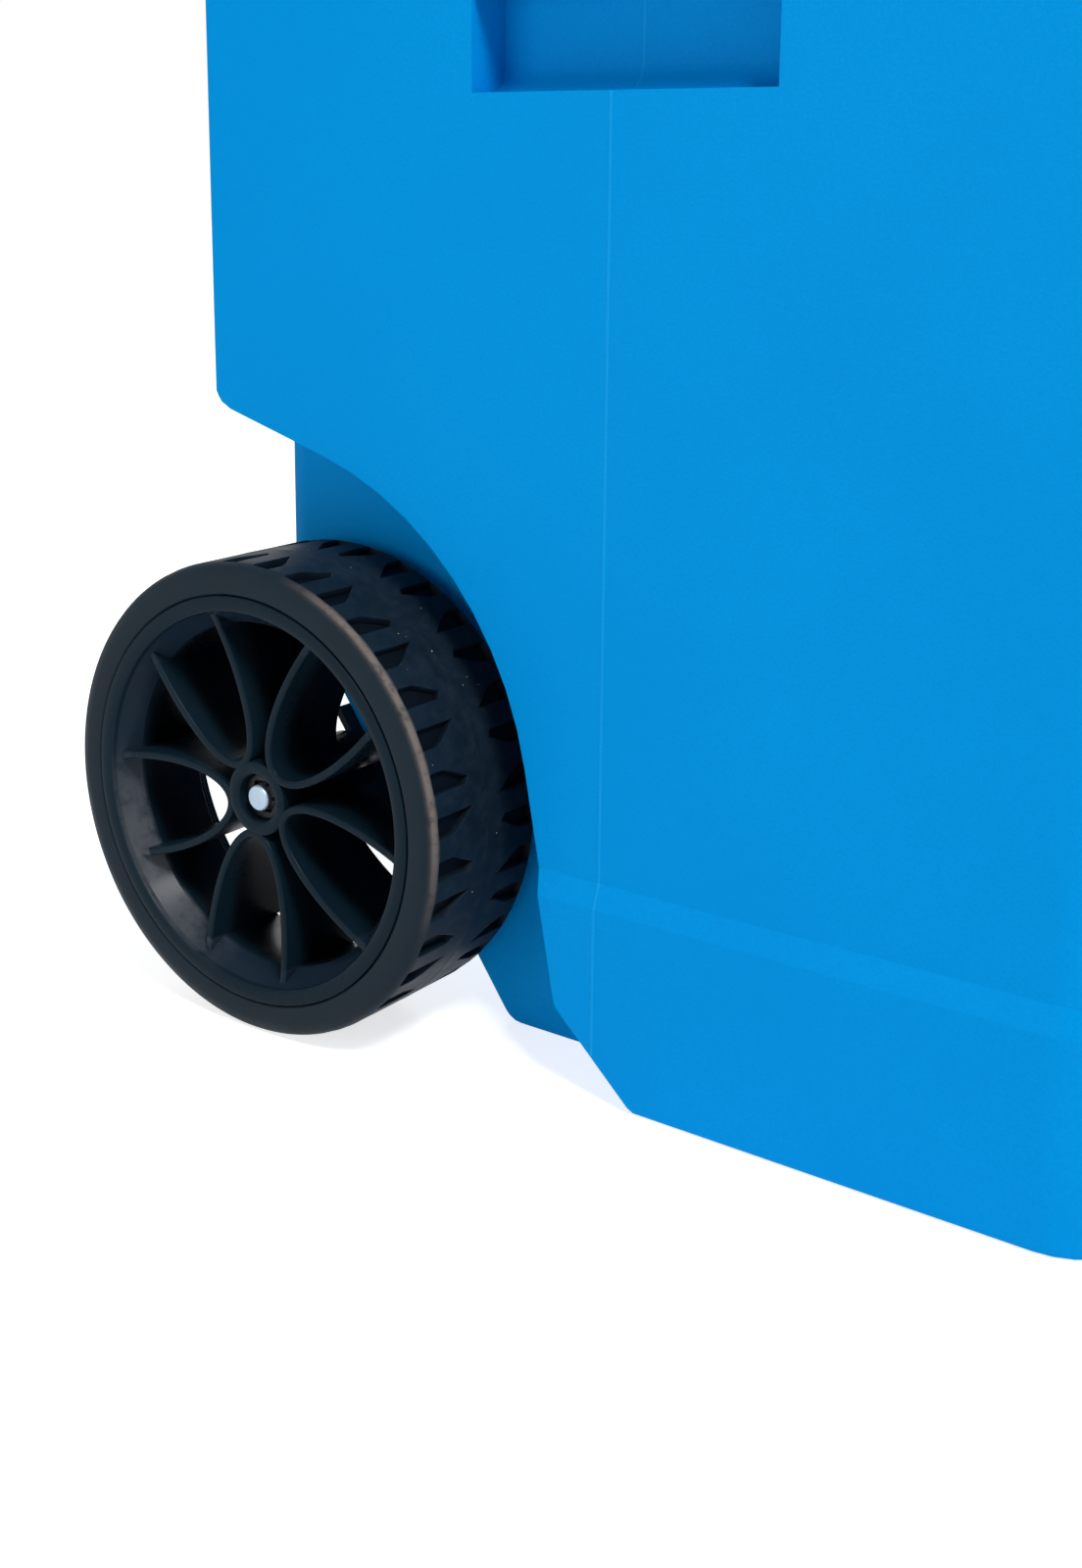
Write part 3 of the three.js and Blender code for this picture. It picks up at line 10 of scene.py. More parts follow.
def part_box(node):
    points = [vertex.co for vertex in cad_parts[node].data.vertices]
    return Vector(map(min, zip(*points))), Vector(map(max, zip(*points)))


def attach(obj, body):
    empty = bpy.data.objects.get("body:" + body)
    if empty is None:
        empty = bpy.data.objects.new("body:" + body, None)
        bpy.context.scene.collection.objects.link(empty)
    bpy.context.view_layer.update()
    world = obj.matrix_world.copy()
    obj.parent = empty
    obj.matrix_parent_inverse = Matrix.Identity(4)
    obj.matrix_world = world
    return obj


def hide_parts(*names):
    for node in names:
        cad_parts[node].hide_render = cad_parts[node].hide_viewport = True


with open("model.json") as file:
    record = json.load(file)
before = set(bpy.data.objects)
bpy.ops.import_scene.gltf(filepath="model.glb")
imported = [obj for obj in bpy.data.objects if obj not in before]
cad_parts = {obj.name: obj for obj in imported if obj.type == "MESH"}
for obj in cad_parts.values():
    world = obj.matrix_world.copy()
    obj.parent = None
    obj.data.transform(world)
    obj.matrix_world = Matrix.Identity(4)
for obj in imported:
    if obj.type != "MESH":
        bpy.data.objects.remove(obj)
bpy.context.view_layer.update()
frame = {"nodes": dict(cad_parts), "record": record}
NODES = frame["nodes"]
MM = 0.001

# ------------------------------------------------------------------ sizes read off the frame

TYRE_LOW, TYRE_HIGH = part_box("tyre_right")
SHELL_LOW, SHELL_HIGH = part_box("outer_shell")
AXLE_X = (TYRE_LOW.x + TYRE_HIGH.x) / 2 / MM
AXLE_Z = (TYRE_LOW.z + TYRE_HIGH.z) / 2 / MM
WHEEL_FACE_Y = -TYRE_LOW.y / MM
WHEEL_RADIUS = (TYRE_HIGH.z - TYRE_LOW.z) / 2 / MM
TYRE_WIDTH = (TYRE_HIGH.y - TYRE_LOW.y) / MM
MOULD_LINE_SHIFT = -4.2  # of the mould line from the middle of the shell
MOULD_LINE_X = (SHELL_LOW.x + SHELL_HIGH.x) / 2 / MM + MOULD_LINE_SHIFT

# ------------------------------------------------------------------ sizes of the wheel centre

LIP_RADIUS = 80.6
LIP_FRONT = 3.0
LIP_DEPTH = 12.5
BARREL_RADIUS = 74.5
BARREL_DEPTH = 46.0
DRUM_WALL = 2.4
HUB_RADIUS = 16.0
HUB_FACE = 7.2
AXLE_HOLE = 5.85

# ------------------------------------------------------------------ camera

SENSOR_WIDTH = 36
LENS = 43.962
SHIFT_UP = -0.125
AZIMUTH = math.radians(35.84632)  # 0 looks along +Y
ELEVATION = math.radians(12.33701)
ROLL = math.radians(0.49965)
CAMERA_FROM_AXLE = Vector((544.0, -790.4, 258.8))  # from the middle of the axle


def make_camera():
    """The photo's camera, placed from the middle of the axle."""
    data = bpy.data.cameras.new("camera")
    data.sensor_width = SENSOR_WIDTH
    data.lens = LENS
    data.shift_y = SHIFT_UP
    data.clip_start = 0.01
    data.clip_end = 50
    camera = bpy.data.objects.new("camera", data)
    bpy.context.scene.collection.objects.link(camera)
    turn = Matrix.Rotation(AZIMUTH, 4, "Z")
    tilt = Matrix.Rotation(math.pi / 2 - ELEVATION, 4, "X")
    roll = Matrix.Rotation(ROLL, 4, "Z")
    place = (Vector((AXLE_X, 0, AXLE_Z)) + CAMERA_FROM_AXLE) * MM
    camera.matrix_world = Matrix.Translation(place) @ turn @ tilt @ roll
    bpy.context.scene.camera = camera


make_camera()


# ------------------------------------------------------------------ materials


class Shader:
    """A node material with short ways to add and link nodes."""

    def __init__(self, name, **settings):
        self.material = bpy.data.materials.new(name)
        self.material.use_nodes = True
        self.tree = self.material.node_tree
        self.bsdf = self.tree.nodes["Principled BSDF"]
        for key, value in settings.items():
            self.bsdf.inputs[key.replace("_", " ")].default_value = value

    def add(self, kind, inputs=None, **settings):
        node = self.tree.nodes.new(kind)
        for key, value in settings.items():
            setattr(node, key, value)
        for key, value in (inputs or {}).items():
            self.put(value, node.inputs[key])
        return node

    def put(self, value, socket):
        if isinstance(value, bpy.types.NodeSocket):
            self.tree.links.new(value, socket)
        else:
            socket.default_value = value

    def place(self, scale=(1, 1, 1)):
        here = self.add("ShaderNodeTexCoord").outputs["Object"]
        return self.add("ShaderNodeMapping", {"Vector": here, "Scale": scale}).outputs[0]

    def noise(self, scale, detail=3.0, roughness=0.5, where=None):
        vector = where or self.place()
        inputs = {"Vector": vector, "Scale": scale, "Detail": detail, "Roughness": roughness}
        return self.add("ShaderNodeTexNoise", inputs).outputs["Fac"]

    def cells(self, scale, feature="F1"):
        inputs = {"Vector": self.place(), "Scale": scale}
        return self.add("ShaderNodeTexVoronoi", inputs, feature=feature).outputs["Distance"]

    def math(self, operation, a, b=0.0, c=0.0):
        return self.add("ShaderNodeMath", {0: a, 1: b, 2: c}, operation=operation).outputs[0]

    def ramp(self, value, low, high, smooth=True):
        """0 where the value is low and 1 where it is high, which may be the smaller number."""
        kind = "SMOOTHSTEP" if smooth else "LINEAR"
        inputs = {"Value": value, "From Min": low, "From Max": high}
        node = self.add("ShaderNodeMapRange", inputs, interpolation_type=kind)
        return node.outputs[0]

    def mix(self, factor, a, b):
        node = self.add("ShaderNodeMix", data_type="RGBA")
        self.put(factor, node.inputs[0])
        self.put(a, node.inputs[6])
        self.put(b, node.inputs[7])
        return node.outputs[2]

    def wheel_polar(self):
        """Depth behind the nearer wheel's outer face, then radius, across and above from its axle."""
        here = self.add("ShaderNodeTexCoord").outputs["Object"]
        x, y, z = self.add("ShaderNodeSeparateXYZ", {0: here}).outputs
        ahead = self.math("MULTIPLY", self.math("SUBTRACT", x, AXLE_X * MM), self.math("SIGN", y))
        across = self.math("MULTIPLY", ahead, -1 / MM)
        above = self.math("MULTIPLY_ADD", z, 1 / MM, -AXLE_Z)
        inboard = self.math("MULTIPLY_ADD", self.math("ABSOLUTE", y), -1 / MM, WHEEL_FACE_Y)
        square = self.math("MULTIPLY_ADD", above, above, self.math("MULTIPLY", across, across))
        return inboard, self.math("SQRT", square), across, above

    def bump(self, *layers):
        """Layers are (height, strength, distance in metres), the coarsest first."""
        normal = None
        for height, strength, distance in layers:
            inputs = {"Height": height, "Strength": strength, "Distance": distance}
            if normal:
                inputs["Normal"] = normal
            normal = self.add("ShaderNodeBump", inputs).outputs[0]
        self.put(normal, self.bsdf.inputs["Normal"])

    def set(self, **sockets):
        for key, value in sockets.items():
            self.put(value, self.bsdf.inputs[key.replace("_", " ")])


def rgb(red, green, blue):
    """A colour given in screen values from 0 to 255."""
    linear = [((c / 255 + 0.055) / 1.055) ** 2.4 if c > 10 else c / 255 / 12.92 for c in (red, green, blue)]
    return (*linear, 1.0)


MOULD_LINE_EDGE = 0.8 * MM  # half of the line's width, where it starts to show
MOULD_LINE_CORE = 0.3 * MM


def blue_shell():
    """Matt polyethylene with a fine grain and a faint raised mould line round the middle of each side,
    drawn lighter as a painted highlight.
    """
    s = Shader("blue_shell")
    cloud = s.noise(9.0, 4.0)
    fine = s.noise(900.0, 3.0, 0.6)
    pebble = s.cells(1100.0, "SMOOTH_F1")
    x = s.add("ShaderNodeSeparateXYZ", {0: s.add("ShaderNodeTexCoord").outputs["Object"]}).outputs[0]
    off_line = s.math("ABSOLUTE", s.math("SUBTRACT", x, MOULD_LINE_X * MM))
    line = s.ramp(off_line, MOULD_LINE_EDGE, MOULD_LINE_CORE)
    base = s.mix(s.ramp(cloud, 0.3, 0.7), rgb(0, 142, 213), rgb(0, 138, 209))
    base = s.mix(s.ramp(fine, 0.35, 0.7), base, rgb(0, 135, 206))
    # painted highlight: the mould line is mixed towards a lighter blue where light catches its ridge; the
    # bump is the real ridge
    base = s.mix(s.math("MULTIPLY", line, 0.35), base, rgb(30, 163, 228))
    s.set(Base_Color=base, Roughness=s.ramp(fine, -0.5, 1.9, False), Specular_IOR_Level=0.02)
    s.bump((cloud, 0.05, 0.002), (line, 0.5, 0.0003), (pebble, 0.25, 0.00025), (fine, 0.2, 0.0001))
    return s.material


def plastic(name, colour, other, roughness, specular=0.4, grain=700.0, strength=0.15):
    """Moulded plastic that drifts between two colours, with faint smears and a fine grain."""
    s = Shader(name)
    cloud = s.noise(14.0, 4.0)
    fine = s.noise(grain, 3.0, 0.6)
    smear = s.noise(60.0, 5.0, 0.7)
    base = s.mix(s.ramp(cloud, 0.3, 0.7), colour, other)
    rough = s.ramp(smear, 0.2, 0.8)
    spread = s.math("MULTIPLY_ADD", rough, 0.14, roughness - 0.07)
    s.set(Base_Color=base, Roughness=spread, Specular_IOR_Level=specular)
    s.bump((cloud, 0.06, 0.002), (fine, strength, 0.0001))
    return s.material


def metal(name, colour, roughness, stretch=(1, 1, 1), strength=0.1):
    """Bare metal with darker clouds and fine lines, drawn out where stretch is small."""
    s = Shader(name, Metallic=1.0)
    lines = s.noise(400.0, 4.0, 0.6, s.place(stretch))
    cloud = s.noise(35.0, 4.0)
    dark = tuple(c * 0.82 for c in colour[:3]) + (1.0,)
    base = s.mix(s.ramp(cloud, 0.35, 0.75), colour, dark)
    spread = s.math("MULTIPLY_ADD", s.ramp(lines, 0.3, 0.7), 0.16, roughness - 0.08)
    s.set(Base_Color=base, Roughness=spread)
    s.bump((lines, strength, 0.0001))
    return s.material


# Painted highlight: a tan sheen round part of the tyre's shoulder, standing in for a lamp's reflection on
# the rounded edge.
SHEEN_START = 0.6  # the painted highlight's band on the shoulder, behind the wheel's face
SHEEN_FULL = (2.0, 2.8)
SHEEN_END = 4.6
SHEEN_TURN_START = -28.0  # degrees round the wheel, 0 to the rear of the right wheel
SHEEN_TURN_FULL = (12.0, 56.0)
SHEEN_TURN_END = 80.0


def tyre_rubber():
    """Matt rubber with dust on the tread, a painted tan highlight round part of the shoulder, and painted
    shade darkening the pockets.
    """
    s = Shader("tyre_rubber")
    cloud = s.noise(45.0, 5.0, 0.6)
    fine = s.noise(1500.0, 3.0, 0.6)
    smear = s.noise(160.0, 5.0, 0.7)
    tread = s.add("ShaderNodeAttribute", attribute_name="tread").outputs["Fac"]
    pocket = s.add("ShaderNodeAttribute", attribute_name="pocket").outputs["Fac"]
    inboard, _, across, above = s.wheel_polar()
    turn = s.math("DEGREES", s.math("ARCTAN2", above, across))
    base = s.mix(s.ramp(cloud, 0.3, 0.75), rgb(15, 28, 37), rgb(20, 34, 44))
    base = s.mix(tread, base, s.mix(s.ramp(cloud, 0.3, 0.75), rgb(12, 24, 34), rgb(17, 30, 41)))
    dust = s.math("MULTIPLY", s.ramp(smear, 0.35, 0.8), tread)
    base = s.mix(s.math("MULTIPLY", dust, 0.25), base, rgb(52, 66, 78))
    # painted shade: the pockets are drawn darker the deeper they go
    base = s.mix(pocket, base, rgb(7, 13, 20))
    # painted highlight: the tan sheen on the shoulder, set by depth and by angle round the wheel and broken
    # up by smears
    begins = s.ramp(inboard, SHEEN_START, SHEEN_FULL[0])
    width = s.math("MULTIPLY", begins, s.ramp(inboard, SHEEN_END, SHEEN_FULL[1]))
    begins = s.ramp(turn, SHEEN_TURN_START, SHEEN_TURN_FULL[0])
    along = s.math("MULTIPLY", begins, s.ramp(turn, SHEEN_TURN_END, SHEEN_TURN_FULL[1]))
    painted_sheen = s.math("MULTIPLY", s.math("MULTIPLY", width, along), s.ramp(smear, 0.15, 0.55))
    base = s.mix(s.math("MULTIPLY", painted_sheen, 0.75), base, rgb(124, 112, 104))
    specks = s.math("MULTIPLY", s.ramp(s.cells(260.0), 0.10, 0.05), s.ramp(s.noise(60.0, 1.0), 0.60, 0.66))
    base = s.mix(s.math("MULTIPLY", specks, tread), base, rgb(190, 188, 180))
    spread = s.math("MULTIPLY_ADD", s.ramp(cloud, 0.3, 0.7), 0.15, 0.45)
    s.set(Base_Color=base, Roughness=spread, Specular_IOR_Level=0.09)
    s.bump((cloud, 0.12, 0.001), (smear, 0.12, 0.0003), (fine, 0.25, 0.00015))
    return s.material


# angle round the wheel where the painted highlight on the lip is centred
LIP_HIGHLIGHT_TURN = math.radians(215)


def rim_plastic():
    """Black plastic, drawn darker inside the drum as painted shade, with a paler bluish lip as a painted
    reflection and a painted highlight on one side of the lip.
    """
    s = Shader("black_rim", Specular_IOR_Level=0.05)
    cloud = s.noise(14.0, 4.0)
    fine = s.noise(300.0, 3.0, 0.6)
    smear = s.noise(90.0, 5.0, 0.7)
    inboard, radius, across, above = s.wheel_polar()
    base = s.mix(s.ramp(cloud, 0.3, 0.7), rgb(12, 28, 38), rgb(16, 32, 42))
    outside = s.ramp(radius, LIP_RADIUS + 1.0, LIP_RADIUS - 0.2)
    inside = s.ramp(radius, BARREL_RADIUS - 1.3, BARREL_RADIUS + 0.1)
    lip = s.math("MULTIPLY", outside, inside)
    lip = s.math("MULTIPLY", lip, s.ramp(inboard, LIP_DEPTH + 2.5, LIP_DEPTH + 0.1))
    # painted shade: the drum is drawn darker the deeper it goes behind the lip
    base = s.mix(s.ramp(inboard, LIP_DEPTH + 0.5, LIP_DEPTH + 9.5), base, rgb(7, 12, 18))
    # painted reflection: the lip is drawn paler and bluer, standing in for the blue chest reflected in it
    base = s.mix(s.math("MULTIPLY", lip, 0.8), base, rgb(26, 39, 52))
    # painted highlight: a pale patch on one side of the lip, broken up by smears
    way = s.math("MULTIPLY", across, math.cos(LIP_HIGHLIGHT_TURN))
    way = s.math("MULTIPLY_ADD", above, math.sin(LIP_HIGHLIGHT_TURN), way)
    lip_highlight = s.math("MULTIPLY", s.ramp(s.math("DIVIDE", way, radius), 0.7, 1.0), s.ramp(smear, 0.2, 0.6))
    base = s.mix(s.math("MULTIPLY", s.math("MULTIPLY", lip_highlight, lip), 0.5), base, rgb(98, 100, 104))
    rough = s.math("MULTIPLY_ADD", lip, -0.08, s.math("MULTIPLY_ADD", s.ramp(smear, 0.2, 0.8), 0.14, 0.22))
    s.set(Base_Color=base, Roughness=rough)
    s.bump((cloud, 0.06, 0.002), (fine, 0.1, 0.0001))
    return s.material


FLOOR_GLOW = 0.25  # what lights the object
FLOOR_SEEN = 0.72  # near the object, to the camera and in reflections
FLOOR_FAR = 0.16  # added to that far away


def floor_material():
    """White to the camera and in reflections, with a faint shadow kept."""
    s = Shader("floor")
    tree = s.tree
    tree.nodes.remove(s.bsdf)
    out = tree.nodes["Material Output"]
    path = s.add("ShaderNodeLightPath").outputs
    seen = s.math("MAXIMUM", path["Is Camera Ray"], path["Is Glossy Ray"])
    seen = s.math("MAXIMUM", seen, path["Is Transmission Ray"])
    grain = s.mix(s.ramp(s.noise(3.0, 3.0), 0.3, 0.7), (0.90, 0.90, 0.90, 1), (0.88, 0.88, 0.88, 1))
    matt = s.add("ShaderNodeBsdfDiffuse", {"Color": grain}).outputs[0]
    here = s.add("ShaderNodeTexCoord").outputs["Object"]
    far = s.ramp(s.add("ShaderNodeVectorMath", {0: here}, operation="LENGTH").outputs["Value"], 1.0, 3.5)
    level = s.math("MULTIPLY_ADD", far, FLOOR_FAR, FLOOR_SEEN)
    level = s.math("MULTIPLY_ADD", s.math("SUBTRACT", level, FLOOR_GLOW), seen, FLOOR_GLOW)
    glow = s.add("ShaderNodeEmission", {"Color": (1, 1, 1, 1), "Strength": level}).outputs[0]
    both = s.add("ShaderNodeAddShader", {0: matt, 1: glow}).outputs[0]
    s.put(both, out.inputs["Surface"])
    return s.material


MATERIALS = {
    "spring_steel": metal("spring_steel", rgb(44, 46, 50), 0.42),
    "zinc_axle": metal("zinc_axle", rgb(160, 178, 191), 0.5),
    "blue_shell": blue_shell(),
    "blue_button": plastic("blue_button", rgb(0, 128, 200), rgb(0, 120, 190), 0.4),
    "white_plastic": plastic("white_plastic", rgb(228, 229, 226), rgb(222, 224, 222), 0.6, 0.12),
    "black_plastic": plastic("black_plastic", rgb(38, 41, 44), rgb(30, 33, 36), 0.45),
    "black_rim": rim_plastic(),
    "tyre": tyre_rubber(),
    "seal_rubber": plastic("seal_rubber", rgb(28, 28, 29), rgb(36, 36, 37), 0.7),
    "foam": plastic("foam", rgb(232, 222, 184), rgb(224, 212, 170), 0.9, 0.2, 250.0, 0.5),
    "steel": metal("steel", rgb(205, 209, 212), 0.3),
    "aluminium_tube": metal("aluminium_tube", rgb(196, 199, 202), 0.34, (6, 6, 0.15), 0.2),
}
SLOT_OF = {entry["node"]: entry["material_slot"] for entry in frame["record"]["subparts"]}
BODY_OF = {
    node: body for body, nodes in frame["record"]["behaviour"]["bodies"].items() for node in nodes
}


# ------------------------------------------------------------------ mesh helpers


def add_piece(name, mesh, slot, body, *replaced, smooth=32):
    """An object that rides on a body, with edges sharp over the angle smooth, in degrees."""
    mesh.materials.clear()
    mesh.materials.append(MATERIALS[slot])
    for polygon in mesh.polygons:
        polygon.use_smooth = True
    mesh.set_sharp_from_angle(angle=math.radians(smooth))
    piece = bpy.data.objects.new(name, mesh)
    bpy.context.scene.collection.objects.link(piece)
    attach(piece, body)
    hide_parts(*replaced)
    return piece


def turn_outwards(mesh, merge=0.0):
    """Points all faces outwards, after joining vertices that lie closer than merge."""
    bm = bmesh.new()
    bm.from_mesh(mesh)
    if merge:
        bmesh.ops.remove_doubles(bm, verts=bm.verts, dist=merge * MM)
    bmesh.ops.recalc_face_normals(bm, faces=bm.faces)
    bm.to_mesh(mesh)
    bm.free()


def mesh_from(name, vertices, faces, merge=0.0):
    """A mesh in metres from vertices in the frame; with merge it is also joined up."""
    mesh = bpy.data.meshes.new(name)
    mesh.from_pydata([Vector(v) * MM for v in vertices], [], faces)
    if merge:
        turn_outwards(mesh, merge)
    return mesh


def wheel_place(side):
    """Gives place(angle, radius, depth behind the wheel's face), a point of the frame."""

    def place(angle, radius, inboard):
        x, z = radius * math.cos(angle), radius * math.sin(angle)
        if side < 0:
            return (AXLE_X + x, -WHEEL_FACE_Y + inboard, AXLE_Z + z)
        return (AXLE_X - x, WHEEL_FACE_Y - inboard, AXLE_Z + z)

    return place


def band(here, there, count, closed=True):
    """Faces between two rows of count vertices, which start at the numbers here and there."""
    faces = []
    for j in range(count if closed else count - 1):
        k = (j + 1) % count
        faces.append((here + j, here + k, there + k, there + j))
    return faces


def append_mesh(vertices, faces, more, cells):
    """Adds another mesh's vertices and faces to the lists of the first."""
    start = len(vertices)
    vertices += more
    faces += [tuple(start + i for i in face) for face in cells]


def lathe(profile, steps, place, closed=True):
    """Vertices and faces of a profile of (radius, along) turned about place's axis."""
    vertices, faces = [], []
    count = len(profile)
    for i in range(steps):
        for radius, along in profile:
            vertices.append(place(2 * math.pi * i / steps, radius, along))
        faces += band(i * count, (i + 1) % steps * count, count, closed)
    return vertices, faces


def rounded(corners, steps):
    """A closed outline of (u, v, radius) corners, with its corners rounded in steps."""
    points = []
    for i, (u, v, radius) in enumerate(corners):
        here = Vector((u, v))
        if not radius:
            points.append((u, v))
            continue
        before = (here - Vector(corners[i - 1][:2])).normalized()
        after = (Vector(corners[(i + 1) % len(corners)][:2]) - here).normalized()
        turn = math.atan2(before.x * after.y - before.y * after.x, before.dot(after))
        reach = radius * math.tan(abs(turn) / 2)
        side = math.copysign(1, turn)
        centre = here - before * reach + Vector((-before.y, before.x)) * side * radius
        arm = here - before * reach - centre
        for k in range(steps + 1):
            spun = Matrix.Rotation(turn * k / steps, 2) @ arm
            points.append(tuple(centre + spun))
    return points


# ------------------------------------------------------------------ tyre

TREAD_RADIUS = WHEEL_RADIUS - 0.1
SHOULDER = 5.0
SHOULDER_START = 0.6
SHOULDER_RISE = 4.0
SHOULDER_TURNS = [math.radians(a) for a in (0, 26, 45, 60, 75, 90)]
SEAM_HALF = 0.35
SEAM_RISE = 0.1
TYRE_THICKNESS = 4.7
SIDEWALL = 3.2
BEAD_RADIUS = 87.9
POCKET_PITCH = math.radians(10)
POCKET_HALF = 4.3
POCKET_DEPTH = 3.1
POCKET_MOUTH = 4.0
POCKET_WALL = 0.6  # from the top of a pocket's wall to its foot
MOUTH_START, MOUTH_END = (POCKET_MOUTH, -POCKET_HALF), (POCKET_MOUTH, POCKET_HALF)
POCKET_A = [MOUTH_START, (12.0, -POCKET_HALF), (16.5, -2.3), (26.0, POCKET_HALF), MOUTH_END]
POCKET_B = [MOUTH_START, (23.2, -POCKET_HALF), (25.6, -1.3), (13.0, POCKET_HALF), MOUTH_END]
POCKET_LEVELS = [(0.3, 0.0), (0.0, 0.2), (-POCKET_WALL, POCKET_DEPTH)]  # (outside the outline, depth)
GRID = math.radians(1.25)
GRID_ROWS = (9.0, 13.0, 17.0, 21.0, 25.0, 29.5)
GRID_ROOM = 0.8  # least distance of a grid point from a pocket's edges
TREAD_START = 6.0  # where the tread's own colour begins


def tread_top(s):
    """The tread's radius before its pockets are cut, at a distance from the near edge."""
    if s >= SHOULDER_START + SHOULDER:
        return TREAD_RADIUS
    along = 1 - (s - SHOULDER_START) / SHOULDER
    return TREAD_RADIUS - SHOULDER_RISE * (1 - math.sqrt(max(0.0, 1 - along * along)))


def sides(outline):
    """Each corner or side of a closed outline with the next one."""
    return zip(outline, outline[1:] + outline[:1])


def edge_distance(point, outline):
    """Distance outside the nearest side of a convex pocket, less than 0 inside it."""
    distances = []
    for a, b in sides(outline):
        along = Vector(b) - Vector(a)
        normal = Vector((along.y, -along.x)).normalized()
        distances.append(normal.dot(Vector(point) - Vector(a)))
    return max(distances)


def offset_outline(outline, by):
    """A pocket's outline moved outwards, with its first corner again at the end."""
    lines = []
    for a, b in sides(outline):
        along = (Vector(b) - Vector(a)).normalized()
        normal = Vector((along.y, -along.x))
        lines.append((Vector(a) + normal * by, along))
    points = []
    for (p, u), (q, v) in sides(lines):
        cross = u.x * v.y - u.y * v.x
        reach = ((q - p).x * v.y - (q - p).y * v.x) / cross
        points.append(p + u * reach)
    return points + points[:1]


def pocket_depth(distance):
    """Depth of the tread at a distance outside a pocket's outline."""
    if distance < -POCKET_WALL:
        return POCKET_DEPTH
    for (outer, shallow), (inner, deep) in zip(POCKET_LEVELS, POCKET_LEVELS[1:]):
        if inner <= distance <= outer:
            return shallow + (deep - shallow) * (outer - distance) / (outer - inner)
    return 0.0


def tread_cell():
    """Flat points (s, t) with their depth, and triangles, for two pitches of half a tread."""
    length = 2 * POCKET_PITCH * WHEEL_RADIUS
    middle = TYRE_WIDTH / 2
    pockets = [(POCKET_A, length / 4), (POCKET_B, 3 * length / 4)]
    points, edges = [], []

    def polyline(line):
        start = len(points)
        points.extend(Vector(p) for p in line)
        edges.extend((start + k, start + k + 1) for k in range(len(line) - 1))

    rows = [SHOULDER_START + SHOULDER * (1 - math.cos(turn)) for turn in SHOULDER_TURNS]
    rows += [middle - SEAM_HALF, middle]
    count = round(length / (GRID * WHEEL_RADIUS))
    for s in rows:
        polyline([(s, length * k / count) for k in range(count + 1)])
    for t in (0.0, length):
        polyline([(s, t) for s in rows])
    for outline, centre in pockets:
        for by, _ in POCKET_LEVELS:
            polyline([(p.x, p.y + centre) for p in offset_outline(outline, by)])
    for s in GRID_ROWS:
        for k in range(1, count):
            t = length * k / count
            outside = [edge_distance((s, t - centre), outline) for outline, centre in pockets]
            if all(abs(d) > GRID_ROOM and abs(d + POCKET_WALL) > GRID_ROOM for d in outside):
                points.append(Vector((s, t)))
    flat, _, triangles = delaunay_2d_cdt(points, edges, [], 0, 1e-4)[:3]
    deep = [
        max(pocket_depth(edge_distance((p.x, p.y - centre), outline)) for outline, centre in pockets)
        for p in flat
    ]
    return [(p.x, p.y) for p in flat], deep, triangles


def tyre_geometry(side):
    """Vertices and faces of a tyre, and how much each vertex is tread and pocket."""
    place = wheel_place(side)
    vertices, faces, tread, pocket = [], [], [], []
    middle = TYRE_WIDTH / 2
    flat, deep, triangles = tread_cell()
    for far in (False, True):
        for cell in range(round(math.pi / POCKET_PITCH)):
            start = len(vertices)
            for (s, t), depth in zip(flat, deep):
                radius = min(tread_top(s), TREAD_RADIUS - depth)
                if abs(s - middle) < SEAM_HALF / 2:
                    radius += SEAM_RISE
                angle = t / WHEEL_RADIUS + 2 * cell * POCKET_PITCH
                if far:
                    angle = -angle - POCKET_PITCH / 2
                vertices.append(place(angle, radius, TYRE_WIDTH - s if far else s))
                tread.append(1.0 if s > TREAD_START and depth < POCKET_LEVELS[0][0] else 0.0)
                pocket.append(depth / POCKET_DEPTH)
            faces += [tuple(start + i for i in face) for face in triangles]
    steps = round(2 * math.pi / GRID)
    inner = WHEEL_RADIUS - TYRE_THICKNESS
    side_wall = [
        (SHOULDER_START, TREAD_RADIUS - SHOULDER_RISE),
        (0.25, 96.6),
        (0.05, 95.4),
        (0.0, 93.0),
        (0.1, 90.0),
        (0.35, 88.6),
        (1.0, BEAD_RADIUS + 0.1),
        (SIDEWALL, BEAD_RADIUS),
        (SIDEWALL, inner),
        (TYRE_WIDTH, inner),
        (TYRE_WIDTH - 0.25, 97.1),
        (TYRE_WIDTH - SHOULDER_START, TREAD_RADIUS - SHOULDER_RISE),
    ]
    ring, quads = lathe([(r, s) for s, r in side_wall], steps, place, closed=False)
    append_mesh(vertices, faces, ring, quads)
    tread += [0.0] * len(ring)
    pocket += [0.0] * len(ring)
    return vertices, faces, tread, pocket


def make_tyre(side, word):
    """A tyre whose vertices carry how much they are tread and pocket, for its material."""
    vertices, faces, tread, pocket = tyre_geometry(side)
    mesh = mesh_from(f"tyre_{word}_moulded", vertices, faces)
    for name, values in (("tread", tread), ("pocket", pocket)):
        mesh.attributes.new(name, "FLOAT", "POINT").data.foreach_set("value", values)
    turn_outwards(mesh, 0.004)
    add_piece(f"tyre_{word}_moulded", mesh, "tyre", f"wheel_{word}", f"tyre_{word}", smooth=28)


# ------------------------------------------------------------------ wheel centre

